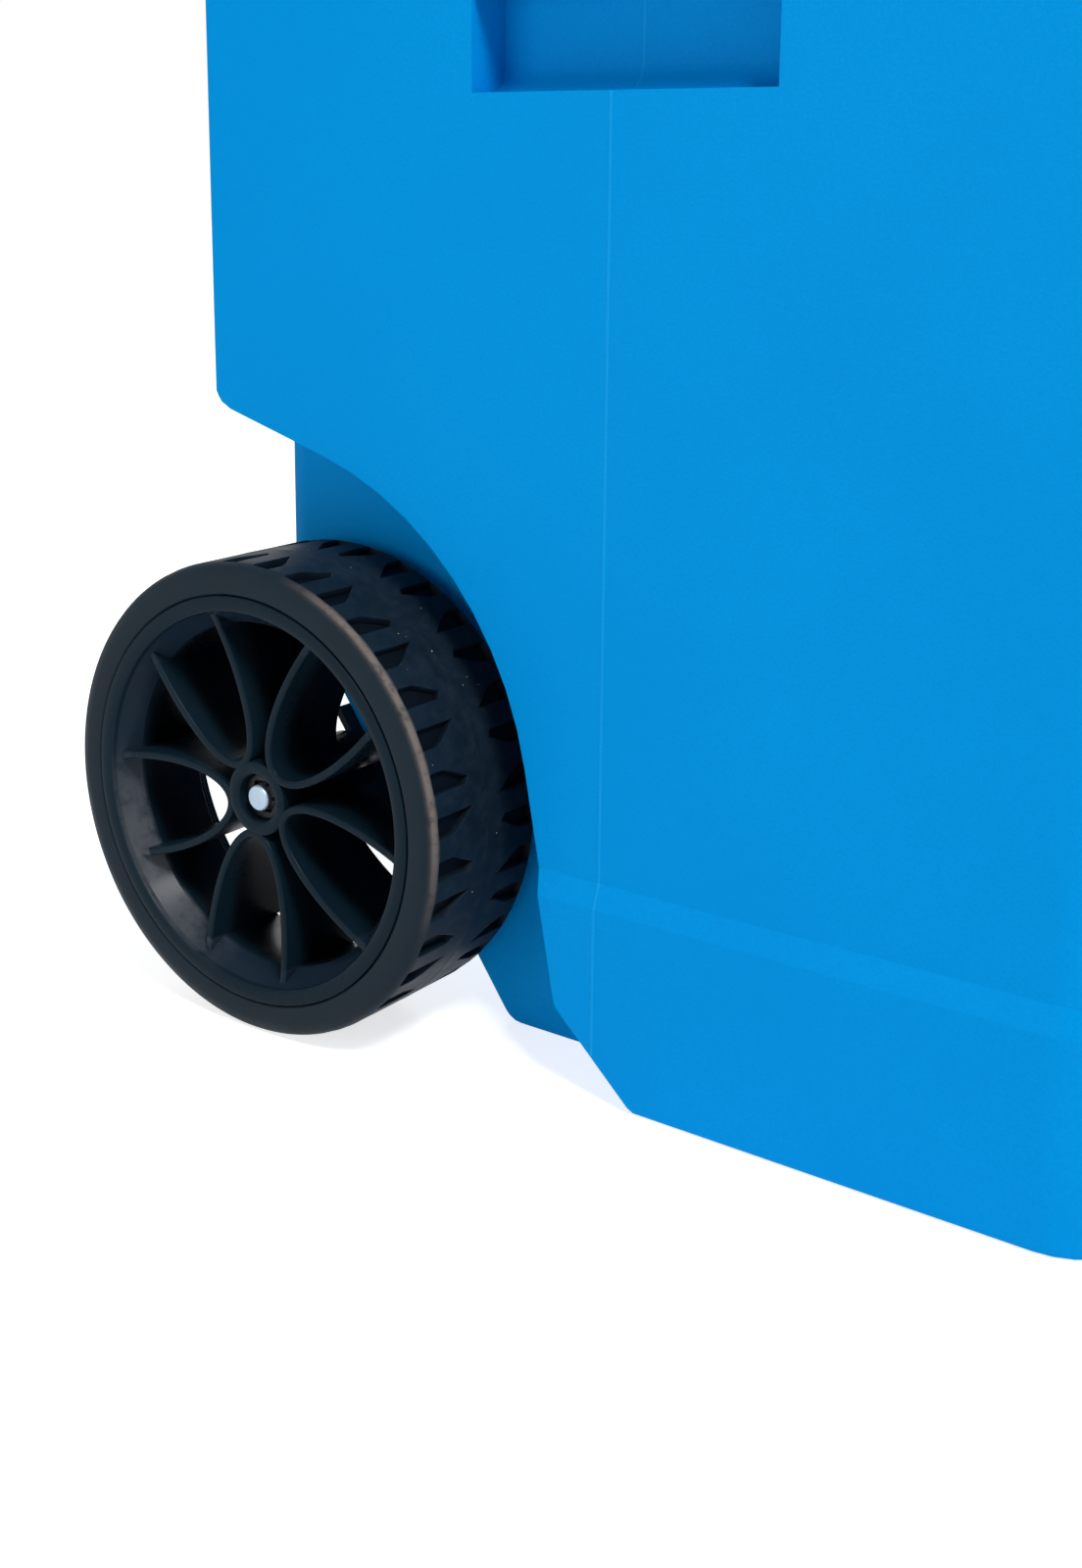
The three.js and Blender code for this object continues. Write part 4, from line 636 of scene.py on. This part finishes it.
RIM_LIP = 87.5
DRUM_RADIUS = WHEEL_RADIUS - 5.0
DRUM_FRONT = 6.0
DRUM_BACK = 64.9
HUB_BACK = 66.0
HUB_POCKET_RADIUS = 10.4
HUB_POCKET_FLOOR = 13.0
RIB_LOOPS = 5
RIB_STEPS = 30
RIB_HALF = 1.75
RIB_SPREAD = 22.1
RIB_FRONT_AT_LIP = 4.8
RIB_BACK = 48.0
RIB_CENTRE = math.sqrt(LIP_RADIUS**2 - RIB_SPREAD**2)
RIB_PHASE = math.radians(48.8)
RIB_EDGE = 1.0
RIB_EDGE_TURNS = [math.radians(a) for a in (0, 30, 60, 90)]
RIB_BACK_SHARE = 0.9  # of the half width, at the back
RIB_SINK = 0.8  # of the ribs into the lip and the drum
PIN_MARK_RADIUS = 13.4


def rib_front(radius):
    """How far behind the wheel face a rib's ridge is at a radius."""
    k = (radius - HUB_RADIUS) / (LIP_RADIUS - HUB_RADIUS)
    return HUB_FACE + (RIB_FRONT_AT_LIP - HUB_FACE) * k


def lip_depth(radius):
    """How far behind the wheel face the sloping lip is at a radius."""
    k = (LIP_RADIUS - radius) / (LIP_RADIUS - BARREL_RADIUS)
    return LIP_FRONT + (LIP_DEPTH - LIP_FRONT) * k


def rib_line():
    """Points, normals and back depths along one loop, from one end on the lip to the other."""
    reach = RIB_CENTRE - HUB_RADIUS

    def station(turn, back=RIB_BACK):
        point = Vector((RIB_CENTRE + reach * math.cos(turn), RIB_SPREAD * math.sin(turn)))
        normal = Vector((math.cos(turn) / reach, math.sin(turn) / RIB_SPREAD)).normalized()
        return point, normal, back

    def turn_at(radius):
        along = math.sqrt(radius**2 - RIB_SPREAD**2) - RIB_CENTRE
        return math.acos(along / reach)

    on_lip = (LIP_RADIUS - 0.9, LIP_RADIUS - 1.4, LIP_RADIUS - 3.2, BARREL_RADIUS + RIB_SINK + 0.1)
    ends = [station(turn_at(radius), lip_depth(radius) + RIB_SINK) for radius in on_lip]
    first = turn_at(BARREL_RADIUS + RIB_SINK)
    run = [station(first + (math.pi - first) * k / RIB_STEPS) for k in range(RIB_STEPS + 1)]
    half = ends + run
    other = [(Vector((p.x, -p.y)), Vector((n.x, -n.y)), b) for p, n, b in reversed(half[:-1])]
    return half + other


def rib_section(front, back):
    """Half of a rib's section: (across, along) from its ridge to its back."""
    edge = min(RIB_EDGE, (back - front) / 2)
    curve = [
        (RIB_HALF - edge * (1 - math.sin(turn)), front + edge * (1 - math.cos(turn)))
        for turn in RIB_EDGE_TURNS
    ]
    return [(0.0, front)] + curve + [(RIB_HALF * RIB_BACK_SHARE, back)]


def rib_loops(place):
    """The U-shaped ribs, each a closed body swept along its line."""
    vertices, faces = [], []
    for loop in range(RIB_LOOPS):
        phase = RIB_PHASE + 2 * math.pi * loop / RIB_LOOPS
        sections = []
        for point, normal, back in rib_line():
            front = min(rib_front(point.length), back - 0.3)
            half = rib_section(front, back)
            full = half + [(-across, along) for across, along in reversed(half[1:])]
            section = []
            for across, along in full:
                spot = point + normal * across
                section.append(place(math.atan2(spot.y, spot.x) + phase, spot.length, along))
            sections.append(section)
        start = len(vertices)
        count = len(sections[0])
        last = start + (len(sections) - 1) * count
        for section in sections:
            vertices += section
        for row in range(start, last, count):
            faces += band(row, row + count, count)
        faces.append(tuple(start + j for j in range(count)))
        faces.append(tuple(last + j for j in reversed(range(count))))
    return vertices, faces


def rim_profile():
    """Outline of the lip, barrel and drum as (radius, depth)."""
    barrel = BARREL_RADIUS + DRUM_WALL
    drum = DRUM_RADIUS - DRUM_WALL
    return rounded([
        (RIM_LIP, 3.6, 0), (RIM_LIP, 0.1, 0.5), (84.2, 0.0, 0), (81.0, 0.6, 1.2),
        (LIP_RADIUS, LIP_FRONT, 1.0), (BARREL_RADIUS, LIP_DEPTH, 0.6), (BARREL_RADIUS, BARREL_DEPTH, 0.5),
        (barrel, BARREL_DEPTH, 0.5), (barrel, LIP_DEPTH, 0), (LIP_RADIUS + DRUM_WALL, DRUM_FRONT, 0),
        (drum, DRUM_FRONT, 1.0), (drum, DRUM_BACK, 0.4), (DRUM_RADIUS, DRUM_BACK, 0.4),
        (DRUM_RADIUS, 3.6, 0),
    ], 3)


def hub_profile():
    """Outline of the hub, its bore and its front pocket as (radius, depth)."""
    pocket, floor = HUB_POCKET_RADIUS, HUB_POCKET_FLOOR
    return [
        (AXLE_HOLE, HUB_BACK - 0.4), (AXLE_HOLE, floor + 0.4), (AXLE_HOLE + 0.35, floor),
        (pocket - 0.2, floor), (pocket, floor - 0.4), (pocket, HUB_FACE + 0.9),
        (pocket + 0.5, HUB_FACE + 0.3), (pocket + 1.0, HUB_FACE), (HUB_RADIUS - 0.8, HUB_FACE),
        (HUB_RADIUS - 0.2, HUB_FACE + 0.3), (HUB_RADIUS, HUB_FACE + 0.9), (HUB_RADIUS, HUB_BACK - 0.6),
        (HUB_RADIUS - 0.6, HUB_BACK), (AXLE_HOLE + 0.55, HUB_BACK),
    ]


def pin_mark(place):
    """The small raised ring that a moulding pin leaves on the hub's face."""
    foot, top = HUB_FACE + 0.2, HUB_FACE - 0.12
    outline = [(1.3, foot), (1.25, top), (0.95, top), (0.9, foot)]

    def beside(angle, radius, along):
        spot = Vector((PIN_MARK_RADIUS + radius * math.cos(angle), radius * math.sin(angle)))
        return place(math.atan2(spot.y, spot.x), spot.length, along)

    return lathe(outline, 24, beside)


def make_wheel_centre(side, word):
    """Rim, hub and ribs of one wheel, which are moulded as one."""
    place = wheel_place(side)
    vertices, faces = lathe(rim_profile(), 180, place)
    for more, cells in (lathe(hub_profile(), 72, place), rib_loops(place), pin_mark(place)):
        append_mesh(vertices, faces, more, cells)
    name = f"wheel_centre_{word}"
    mesh = mesh_from(name, vertices, faces)
    turn_outwards(mesh)
    add_piece(name, mesh, "black_rim", f"wheel_{word}", f"rim_{word}", f"spokes_{word}", smooth=35)


for wheel_side, wheel_word in ((-1, "right"), (1, "left")):
    make_tyre(wheel_side, wheel_word)
    make_wheel_centre(wheel_side, wheel_word)


# ------------------------------------------------------------------ axle


def make_axle():
    """A round bar with chamfered ends."""
    low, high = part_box("axle")
    end = high.y / MM
    radius = (high.z - low.z) / 2 / MM
    profile = []
    for sign in (-1, 1):
        half = [(0.0, end), (radius - 1.1, end), (radius - 0.5, end - 0.15), (radius, end - 0.8)]
        profile += [(r, sign * e) for r, e in (half if sign < 0 else reversed(half))]

    def place(angle, r, along):
        return (AXLE_X + r * math.cos(angle), along, AXLE_Z + r * math.sin(angle))

    vertices, faces = lathe(profile, 48, place, closed=False)
    mesh = mesh_from("axle_turned", vertices, faces, merge=0.001)
    piece = add_piece("axle_turned", mesh, "steel", "cooler_body", "axle")
    piece.data.materials[0] = MATERIALS["zinc_axle"]


make_axle()


# ------------------------------------------------------------------ push nuts

NUT_BITE = 5.9  # inner radius of the fingers
NUT_SLIT = 7.4  # radius at the ends of the slits
NUT_STEPS = 72
NUT_STEPS_PER_FINGER = 12


def make_push_nut(side, word):
    """A spring washer with slits between its biting fingers."""
    place = wheel_place(side)
    low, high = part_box(f"push_nut_{word}")
    outer = (high.x - low.x) / 2 / MM
    face = WHEEL_FACE_Y - max(abs(low.y), abs(high.y)) / MM
    profile = [
        (NUT_BITE, face), (NUT_BITE + 1.0, face + 0.9), (outer - 0.4, face + 0.9), (outer, face + 1.2),
        (outer, face + 1.8), (NUT_BITE + 1.0, face + 1.9), (NUT_BITE, face + 1.0),
    ]

    def slit_place(angle, radius, along):
        slit = round(angle / (2 * math.pi) * NUT_STEPS) % NUT_STEPS_PER_FINGER < 2
        return place(angle, max(radius, NUT_SLIT) if slit else radius, along)

    vertices, faces = lathe(profile, NUT_STEPS, slit_place)
    mesh = mesh_from(f"push_nut_{word}_pressed", vertices, faces, merge=0.001)
    piece = add_piece(f"push_nut_{word}_pressed", mesh, "steel", "cooler_body", f"push_nut_{word}")
    piece.data.materials[0] = MATERIALS["spring_steel"]


make_push_nut(-1, "right")
make_push_nut(1, "left")


# ------------------------------------------------------------------ CAD solids with eased edges

LEDGE_LEVELS = (80.6, 90.6)  # heights of its two folds
LEDGE_ANGLE = math.radians(10)
FLAT_ANGLE = math.radians(0.6)
EASE_ANGLE = 35
EASE_STEPS = 2
JOIN_DISTANCE = 0.002


def on_ledge(edge):
    """Whether an edge is one of the two long folds of the ledge round the chest."""
    heights = [vertex.co.z / MM for vertex in edge.verts]
    return any(all(abs(height - level) < 0.05 for height in heights) for level in LEDGE_LEVELS)


def make_eased(node, width):
    """A copy of a CAD solid with its flat faces joined up and its edges eased."""
    mesh = NODES[node].data.copy()
    bm = bmesh.new()
    bm.from_mesh(mesh)
    bmesh.ops.remove_doubles(bm, verts=bm.verts, dist=JOIN_DISTANCE * MM)
    bmesh.ops.dissolve_limit(
        bm, angle_limit=FLAT_ANGLE, verts=bm.verts, edges=bm.edges, use_dissolve_boundaries=False
    )
    folds = [edge for edge in bm.edges if len(edge.link_faces) == 2]
    sharp = [
        edge
        for edge in folds
        if edge.calc_face_angle(0) > (LEDGE_ANGLE if on_ledge(edge) else math.radians(EASE_ANGLE))
    ]
    bmesh.ops.bevel(
        bm,
        geom=sharp,
        offset=width * MM,
        segments=EASE_STEPS,
        profile=0.5,
        affect="EDGES",
        clamp_overlap=True,
        loop_slide=True,
    )
    bmesh.ops.triangulate(bm, faces=[f for f in bm.faces if len(f.verts) > 4])
    bm.to_mesh(mesh)
    bm.free()
    for attribute in list(mesh.attributes):
        if attribute.name == "custom_normal":
            mesh.attributes.remove(attribute)
    piece = add_piece(f"{node}_eased", mesh, SLOT_OF[node], BODY_OF[node], node, smooth=EASE_ANGLE)
    weighted = piece.modifiers.new("flat_faces", "WEIGHTED_NORMAL")
    weighted.keep_sharp = True


EASED = {  # the width of each one's eased edges
    "outer_shell": 0.7,
    "lid_shell": 0.6,
    "inner_liner": 0.6,
    "lid_liner": 0.5,
    "handle_bar": 0.5,
    "handle_bridge": 0.4,
    "handle_top_bracket": 0.5,
    "handle_foot_bracket": 0.5,
    "release_button": 0.25,
    "axle_strap_right": 0.4,
    "axle_strap_left": 0.4,
    "drain_nut": 0.4,
    "hinge_body_leaf_front": 0.25,
    "hinge_body_leaf_rear": 0.25,
    "hinge_lid_leaf_front": 0.25,
    "hinge_lid_leaf_rear": 0.25,
}
for node_name, node_object in NODES.items():
    node_object.data.materials.clear()
    node_object.data.materials.append(MATERIALS[SLOT_OF[node_name]])
for node_name, ease_width in EASED.items():
    make_eased(node_name, ease_width)


# ------------------------------------------------------------------ turned parts

TUBE_WALL = 1.3
DRAIN_HOLE = 11.3
TURNED_EDGE = 0.35
ROUND_STEPS = 56


def axis_place(origin, axis):
    """Gives place(angle, radius, distance along the axis), a point of the frame."""
    axis = Vector(axis).normalized()
    across = axis.orthogonal().normalized()
    other = axis.cross(across)

    def place(angle, radius, along):
        spoke = across * math.cos(angle) + other * math.sin(angle)
        return Vector(origin) + spoke * radius + axis * along

    return place


def node_ends(node, index):
    """Middle of a node's low end along the axis numbered index, its length there and its radius."""
    low, high = (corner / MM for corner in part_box(node))
    origin = (low + high) / 2
    origin[index] = low[index]
    other = (index + 1) % 3
    return origin, high[index] - low[index], (high[other] - low[other]) / 2


def make_turned(node, origin, axis, profile, steps):
    """A turned piece, from a closed profile of (radius, along)."""
    vertices, faces = lathe(profile, steps, axis_place(origin, axis))
    mesh = mesh_from(f"{node}_turned", vertices, faces, merge=0.001)
    add_piece(f"{node}_turned", mesh, SLOT_OF[node], BODY_OF[node], node)


def ring_profile(inner, outer, length, edge):
    """A ring's section with its four edges rounded off in two flats."""
    near = edge * 0.3
    return [
        (inner, length - edge), (inner, edge), (inner + near, near), (inner + edge, 0.0),
        (outer - edge, 0.0), (outer - near, near), (outer, edge), (outer, length - edge),
        (outer - near, length - near), (outer - edge, length), (inner + edge, length),
        (inner + near, length - near),
    ]


def make_tube(node):
    start, length, radius = node_ends(node, 2)
    profile = ring_profile(radius - TUBE_WALL, radius, length, TURNED_EDGE)
    make_turned(node, start, (0, 0, 1), profile, ROUND_STEPS)


def make_washer(node):
    start, length, radius = node_ends(node, 1)
    profile = ring_profile(AXLE_HOLE, radius, length, TURNED_EDGE)
    make_turned(node, start, (0, 1, 0), profile, ROUND_STEPS)


def make_gasket(node):
    start, length, radius = node_ends(node, 0)
    profile = ring_profile(DRAIN_HOLE, radius, length, 0.5)
    make_turned(node, start, (1, 0, 0), profile, ROUND_STEPS)


for side_word in ("right", "left"):
    for tube_name in ("outer_tube", "mid_tube", "inner_tube"):
        make_tube(f"{tube_name}_{side_word}")
    make_washer(f"washer_{side_word}")
make_gasket("drain_gasket")


PIN_RADIUS = 2.0
PIN_HEAD = 1.0
PIN_STEPS = 24


def make_hinge_pin(word):
    """A pin with a domed head at its front end and a rounded tail."""
    node = f"hinge_pin_{word}"
    start, length, head = node_ends(node, 0)
    under_head = length - PIN_HEAD
    profile = [
        (0.0, 0.0), (PIN_RADIUS - 0.7, 0.0), (PIN_RADIUS - 0.2, 0.25), (PIN_RADIUS, 0.7),
        (PIN_RADIUS, under_head), (head, under_head), (head, under_head + 0.3),
        (head * 0.82, length - 0.25), (head * 0.45, length), (0.0, length),
    ]
    make_turned(node, start, (1, 0, 0), profile, PIN_STEPS)


make_hinge_pin("front")
make_hinge_pin("rear")


# ------------------------------------------------------------------ drain

DRAIN_BORE = 7.5
DRAIN_TUBE = 11.0
DRAIN_FLANGE = 2.7
DRAIN_STEPS = 72
THREAD_START = 0.8
THREAD_END = 10
THREAD_DEPTH = 0.45
THREAD_PITCH = 2.0
PLUG_ROOM = 0.3  # between the plug's ribs and the bore
PLUG_RIBS = (6.0, 12.0)  # from the inner end
PLUG_RIB = 0.25
PLUG_CAP = 2.0
PLUG_TAB = 5.0
TAB_HALF = 2.0
TAB_EDGE = 0.5


def make_drain_spout():
    """Flange, threaded tube and bore, turned about the drain's axis."""
    start, length, flange = node_ends("drain_spout", 0)
    thread = []
    along = THREAD_START
    while along < THREAD_END:
        thread += [(DRAIN_TUBE - THREAD_DEPTH, along), (DRAIN_TUBE, along + THREAD_PITCH / 2)]
        along += THREAD_PITCH
    back = length - DRAIN_FLANGE
    profile = [
        (DRAIN_BORE, length - 0.6), (DRAIN_BORE, 0.5), (DRAIN_BORE + 0.5, 0.0), (DRAIN_TUBE - 0.7, 0.0),
        *thread,
        (DRAIN_TUBE, back), (flange - 0.3, back), (flange, back + 0.3), (flange, length - 1.5),
        (flange - 0.45, length - 0.6), (flange - 1.6, length), (DRAIN_BORE + 3.6, length),
        (DRAIN_BORE + 3.3, length - 0.3), (DRAIN_BORE + 0.6, length - 0.3),
    ]
    make_turned("drain_spout", start, (1, 0, 0), profile, DRAIN_STEPS)


def plug_profile(cap, top):
    """Stem with sealing ribs, and a cap of the given radius whose face is at top."""
    rib = DRAIN_BORE - PLUG_ROOM
    stem = rib - PLUG_RIB
    seat = top - PLUG_CAP
    profile = [(0.0, 0.0), (rib - 1.5, 0.0), (rib - 0.4, 0.9), (stem, 1.6)]
    for along in PLUG_RIBS:
        profile += [(stem, along - 0.8), (rib, along), (stem, along + 0.8)]
    return profile + [
        (stem, seat), (cap - 0.3, seat), (cap, seat + 0.3), (cap, top - 0.8),
        (cap - 0.25, top - 0.25), (cap - 0.8, top), (0.0, top),
    ]


def pull_tab(middle, reach):
    """A flat tab with rounded corners that stands on the middle of the cap."""
    rise, taper, corner = PLUG_TAB + 0.4, 0.8, 2.2
    tip = reach - taper
    outline = rounded([(-reach, 0.0, 0), (reach, 0.0, 0), (tip, rise, corner), (-tip, rise, corner)], 5)
    flat = TAB_HALF - TAB_EDGE
    levels = [(-TAB_HALF, TAB_EDGE), (-flat, 0.0), (flat, 0.0), (TAB_HALF, TAB_EDGE)]
    vertices, faces = [], []
    count = len(outline)
    for across, inset in levels:
        shrink = (reach - inset) / reach
        for u, v in outline:
            lift = v if v < 0.1 else v - inset
            vertices.append(middle + Vector((lift, across, u * shrink)))
    last = (len(levels) - 1) * count
    for row in range(0, last, count):
        faces += band(row, row + count, count)
    faces.append(tuple(range(count)))
    faces.append(tuple(last + j for j in reversed(range(count))))
    return vertices, faces


def make_drain_plug():
    """A push-in stopper with two sealing ribs and a moulded pull tab."""
    node = "drain_plug"
    start, length, cap = node_ends(node, 0)
    top = length - PLUG_TAB
    place = axis_place(start, (1, 0, 0))
    vertices, faces = lathe(plug_profile(cap, top), ROUND_STEPS, place, closed=False)
    append_mesh(vertices, faces, *pull_tab(start + Vector((top - 0.4, 0, 0)), cap - 2.0))
    mesh = mesh_from("drain_plug_moulded", vertices, faces, merge=0.001)
    add_piece("drain_plug_moulded", mesh, SLOT_OF[node], BODY_OF[node], node, smooth=35)


make_drain_spout()
make_drain_plug()


# ------------------------------------------------------------------ screws

SCREW_HEAD = 3.6
SCREW_SHANK = 1.9
SCREW_RISE = 2.2
SCREW_LENGTH = 12.0
SEAT = 0.3
SCREW_POINT = 1.2
HEAD_RINGS = (1.0, 2.6, 3.1, 3.4, 3.55, SCREW_HEAD)
HEAD_STEPS = 24
THREAD_TOP = -0.4
THREAD_CUT = 0.3
THREAD_STEP = 0.45  # from a groove to the next ridge
CROSS_ARM = 2.1
CROSS_HALF = 0.5
CROSS_DEPTH = 1.3
CROSS_WALL = 0.18
CROSS_CORNERS = 12
TURN_STEP = math.radians(37)  # between the crosses of one screw and the next
UNDERSIDE_SLOPE = math.radians(54.3)
SCREW_WAYS = {  # from the tip to the head
    "axle_screw": (-math.sin(UNDERSIDE_SLOPE), 0, -math.cos(UNDERSIDE_SLOPE)),
    "chest_hinge": (0, 1, 0),
    "lid_hinge": (0, 1, 0),
    "chest_top": (-1, 0, 0),
    "chest_foot": (-1, 0, 0),
}


def cross_outline(inset):
    """Corners of the cross recess, moved in by inset."""
    arm, half = CROSS_ARM - inset, CROSS_HALF - inset
    quarter = [(arm, -half), (arm, half), (half, half)]
    points = []
    for turn in range(4):
        c, s = round(math.cos(turn * math.pi / 2)), round(math.sin(turn * math.pi / 2))
        points += [(c * x - s * y, s * x + c * y) for x, y in quarter]
    return points


def pan_height(radius):
    """Height of a pan head over its seat."""
    k = min(1.0, radius / SCREW_HEAD)
    return SEAT + (SCREW_RISE - SEAT) * (1 - k**4) ** 0.5


def screw_head():
    """Points (x, y, height) and faces of a pan head with a sunken cross."""
    points, edges = [], []

    def ring(count):
        start = len(points) - count
        return [(start + k, start + (k + 1) % count) for k in range(count)]

    for radius in HEAD_RINGS:
        turns = [2 * math.pi * k / HEAD_STEPS for k in range(HEAD_STEPS)]
        points += [Vector((radius * math.cos(turn), radius * math.sin(turn))) for turn in turns]
        if radius > CROSS_ARM:
            edges += ring(HEAD_STEPS)
    for inset in (0.0, CROSS_WALL):
        points += [Vector(corner) for corner in cross_outline(inset)]
        edges += ring(CROSS_CORNERS)
    flat, _, triangles = delaunay_2d_cdt(points, edges, [], 0, 1e-5)[:3]
    arm, half = CROSS_ARM - CROSS_WALL + 1e-4, CROSS_HALF - CROSS_WALL + 1e-4

    def height(point):
        short, long = sorted((abs(point.x), abs(point.y)))
        sunk = CROSS_DEPTH if short < half and long < arm else 0.0
        return pan_height(point.length) - sunk

    return [(p.x, p.y, height(p)) for p in flat], [tuple(t) for t in triangles]


def screw_tip(node, way):
    """Middle of the flat end of a CAD screw."""
    points = [vertex.co / MM for vertex in NODES[node].data.vertices]
    lowest = min(point.dot(way) for point in points)
    ends = {tuple(round(c, 3) for c in p) for p in points if p.dot(way) < lowest + 0.01}
    return sum((Vector(end) for end in ends), Vector()) / len(ends)


def shank_profile():
    """A shank with thread rings and a point, from under the head to the tip."""
    profile = [(SCREW_HEAD, SEAT), (SCREW_SHANK, SEAT)]
    along = THREAD_TOP
    while along > -SCREW_LENGTH + 1.6:
        profile += [(SCREW_SHANK - THREAD_CUT, along), (SCREW_SHANK, along - THREAD_STEP)]
        along -= 2 * THREAD_STEP
    end = -SCREW_LENGTH
    return profile + [(SCREW_SHANK - 0.5, end + SCREW_POINT), (0.2, end), (0.0, end)]


def make_screw(node, turn):
    """A CAD screw with its thread and its sunken cross, turned by an angle."""
    way = Vector(next(w for prefix, w in SCREW_WAYS.items() if node.startswith(prefix)))
    seat = screw_tip(node, way) + way * SCREW_LENGTH
    place = axis_place(seat, way)
    spots, faces = HEAD
    faces = list(faces)
    vertices = [place(math.atan2(y, x) + turn, math.hypot(x, y), z) for x, y, z in spots]

    def turned_place(angle, radius, along):
        return place(angle + turn, radius, along)

    append_mesh(vertices, faces, *lathe(shank_profile(), HEAD_STEPS, turned_place, closed=False))
    mesh = mesh_from(f"{node}_turned", vertices, faces, merge=0.002)
    add_piece(f"{node}_turned", mesh, SLOT_OF[node], BODY_OF[node], node, smooth=30)


HEAD = screw_head()
for order, node_name in enumerate(sorted(node for node in NODES if "_screw_" in node)):
    make_screw(node_name, TURN_STEP * order)


# ------------------------------------------------------------------ floor and light

FLOOR_HALF = 9  # metres
WORLD_LIGHT = 0.21
WORLD_SEEN = 1.0


def make_floor():
    """A large white floor at the height of the wheels' lowest point."""
    corners = [(x * FLOOR_HALF, y * FLOOR_HALF, 0) for x, y in ((-1, -1), (1, -1), (1, 1), (-1, 1))]
    mesh = bpy.data.meshes.new("floor")
    mesh.from_pydata(corners, [], [(0, 1, 2, 3)])
    mesh.materials.append(floor_material())
    floor = bpy.data.objects.new("floor", mesh)
    bpy.context.scene.collection.objects.link(floor)


def make_world():
    """White to the camera, in reflections and through glass, and dimmer as a light."""
    world = bpy.data.worlds.new("studio")
    bpy.context.scene.world = world
    world.use_nodes = True
    tree = world.node_tree
    background = tree.nodes["Background"]
    path = tree.nodes.new("ShaderNodeLightPath").outputs
    seen = path["Is Camera Ray"]
    for ray in ("Is Transmission Ray", "Is Glossy Ray"):
        either = tree.nodes.new("ShaderNodeMath")
        either.operation = "MAXIMUM"
        tree.links.new(seen, either.inputs[0])
        tree.links.new(path[ray], either.inputs[1])
        seen = either.outputs[0]
    level = tree.nodes.new("ShaderNodeMapRange")
    level.inputs["To Min"].default_value = WORLD_LIGHT
    level.inputs["To Max"].default_value = WORLD_SEEN
    tree.links.new(seen, level.inputs["Value"])
    tree.links.new(level.outputs[0], background.inputs["Strength"])
    background.inputs["Color"].default_value = (1, 1, 1, 1)


def add_lamp(name, place, target, size, power):
    """A lamp in metres and watts that faces its target."""
    data = bpy.data.lights.new(name, "AREA")
    data.shape = "RECTANGLE"
    data.size, data.size_y = size
    data.energy = power
    lamp = bpy.data.objects.new(name, data)
    bpy.context.scene.collection.objects.link(lamp)
    lamp.location = place
    lamp.rotation_mode = "QUATERNION"
    lamp.rotation_quaternion = (Vector(target) - Vector(place)).to_track_quat("-Z", "Y")


make_floor()
make_world()
add_lamp("key", place=(-0.5, -1.8, 0.5), target=(0, 0, 0.2), size=(1.2, 0.9), power=7.4)
add_lamp("side", place=(1.7, -1.15, 2.8), target=(0.1, -0.2, 0.1), size=(0.8, 0.8), power=84)
add_lamp("fill", place=(-1.3, 2.1, 1.3), target=(0, 0, 0.2), size=(1.2, 1.2), power=20)
bpy.context.scene.view_settings.view_transform = "Standard"
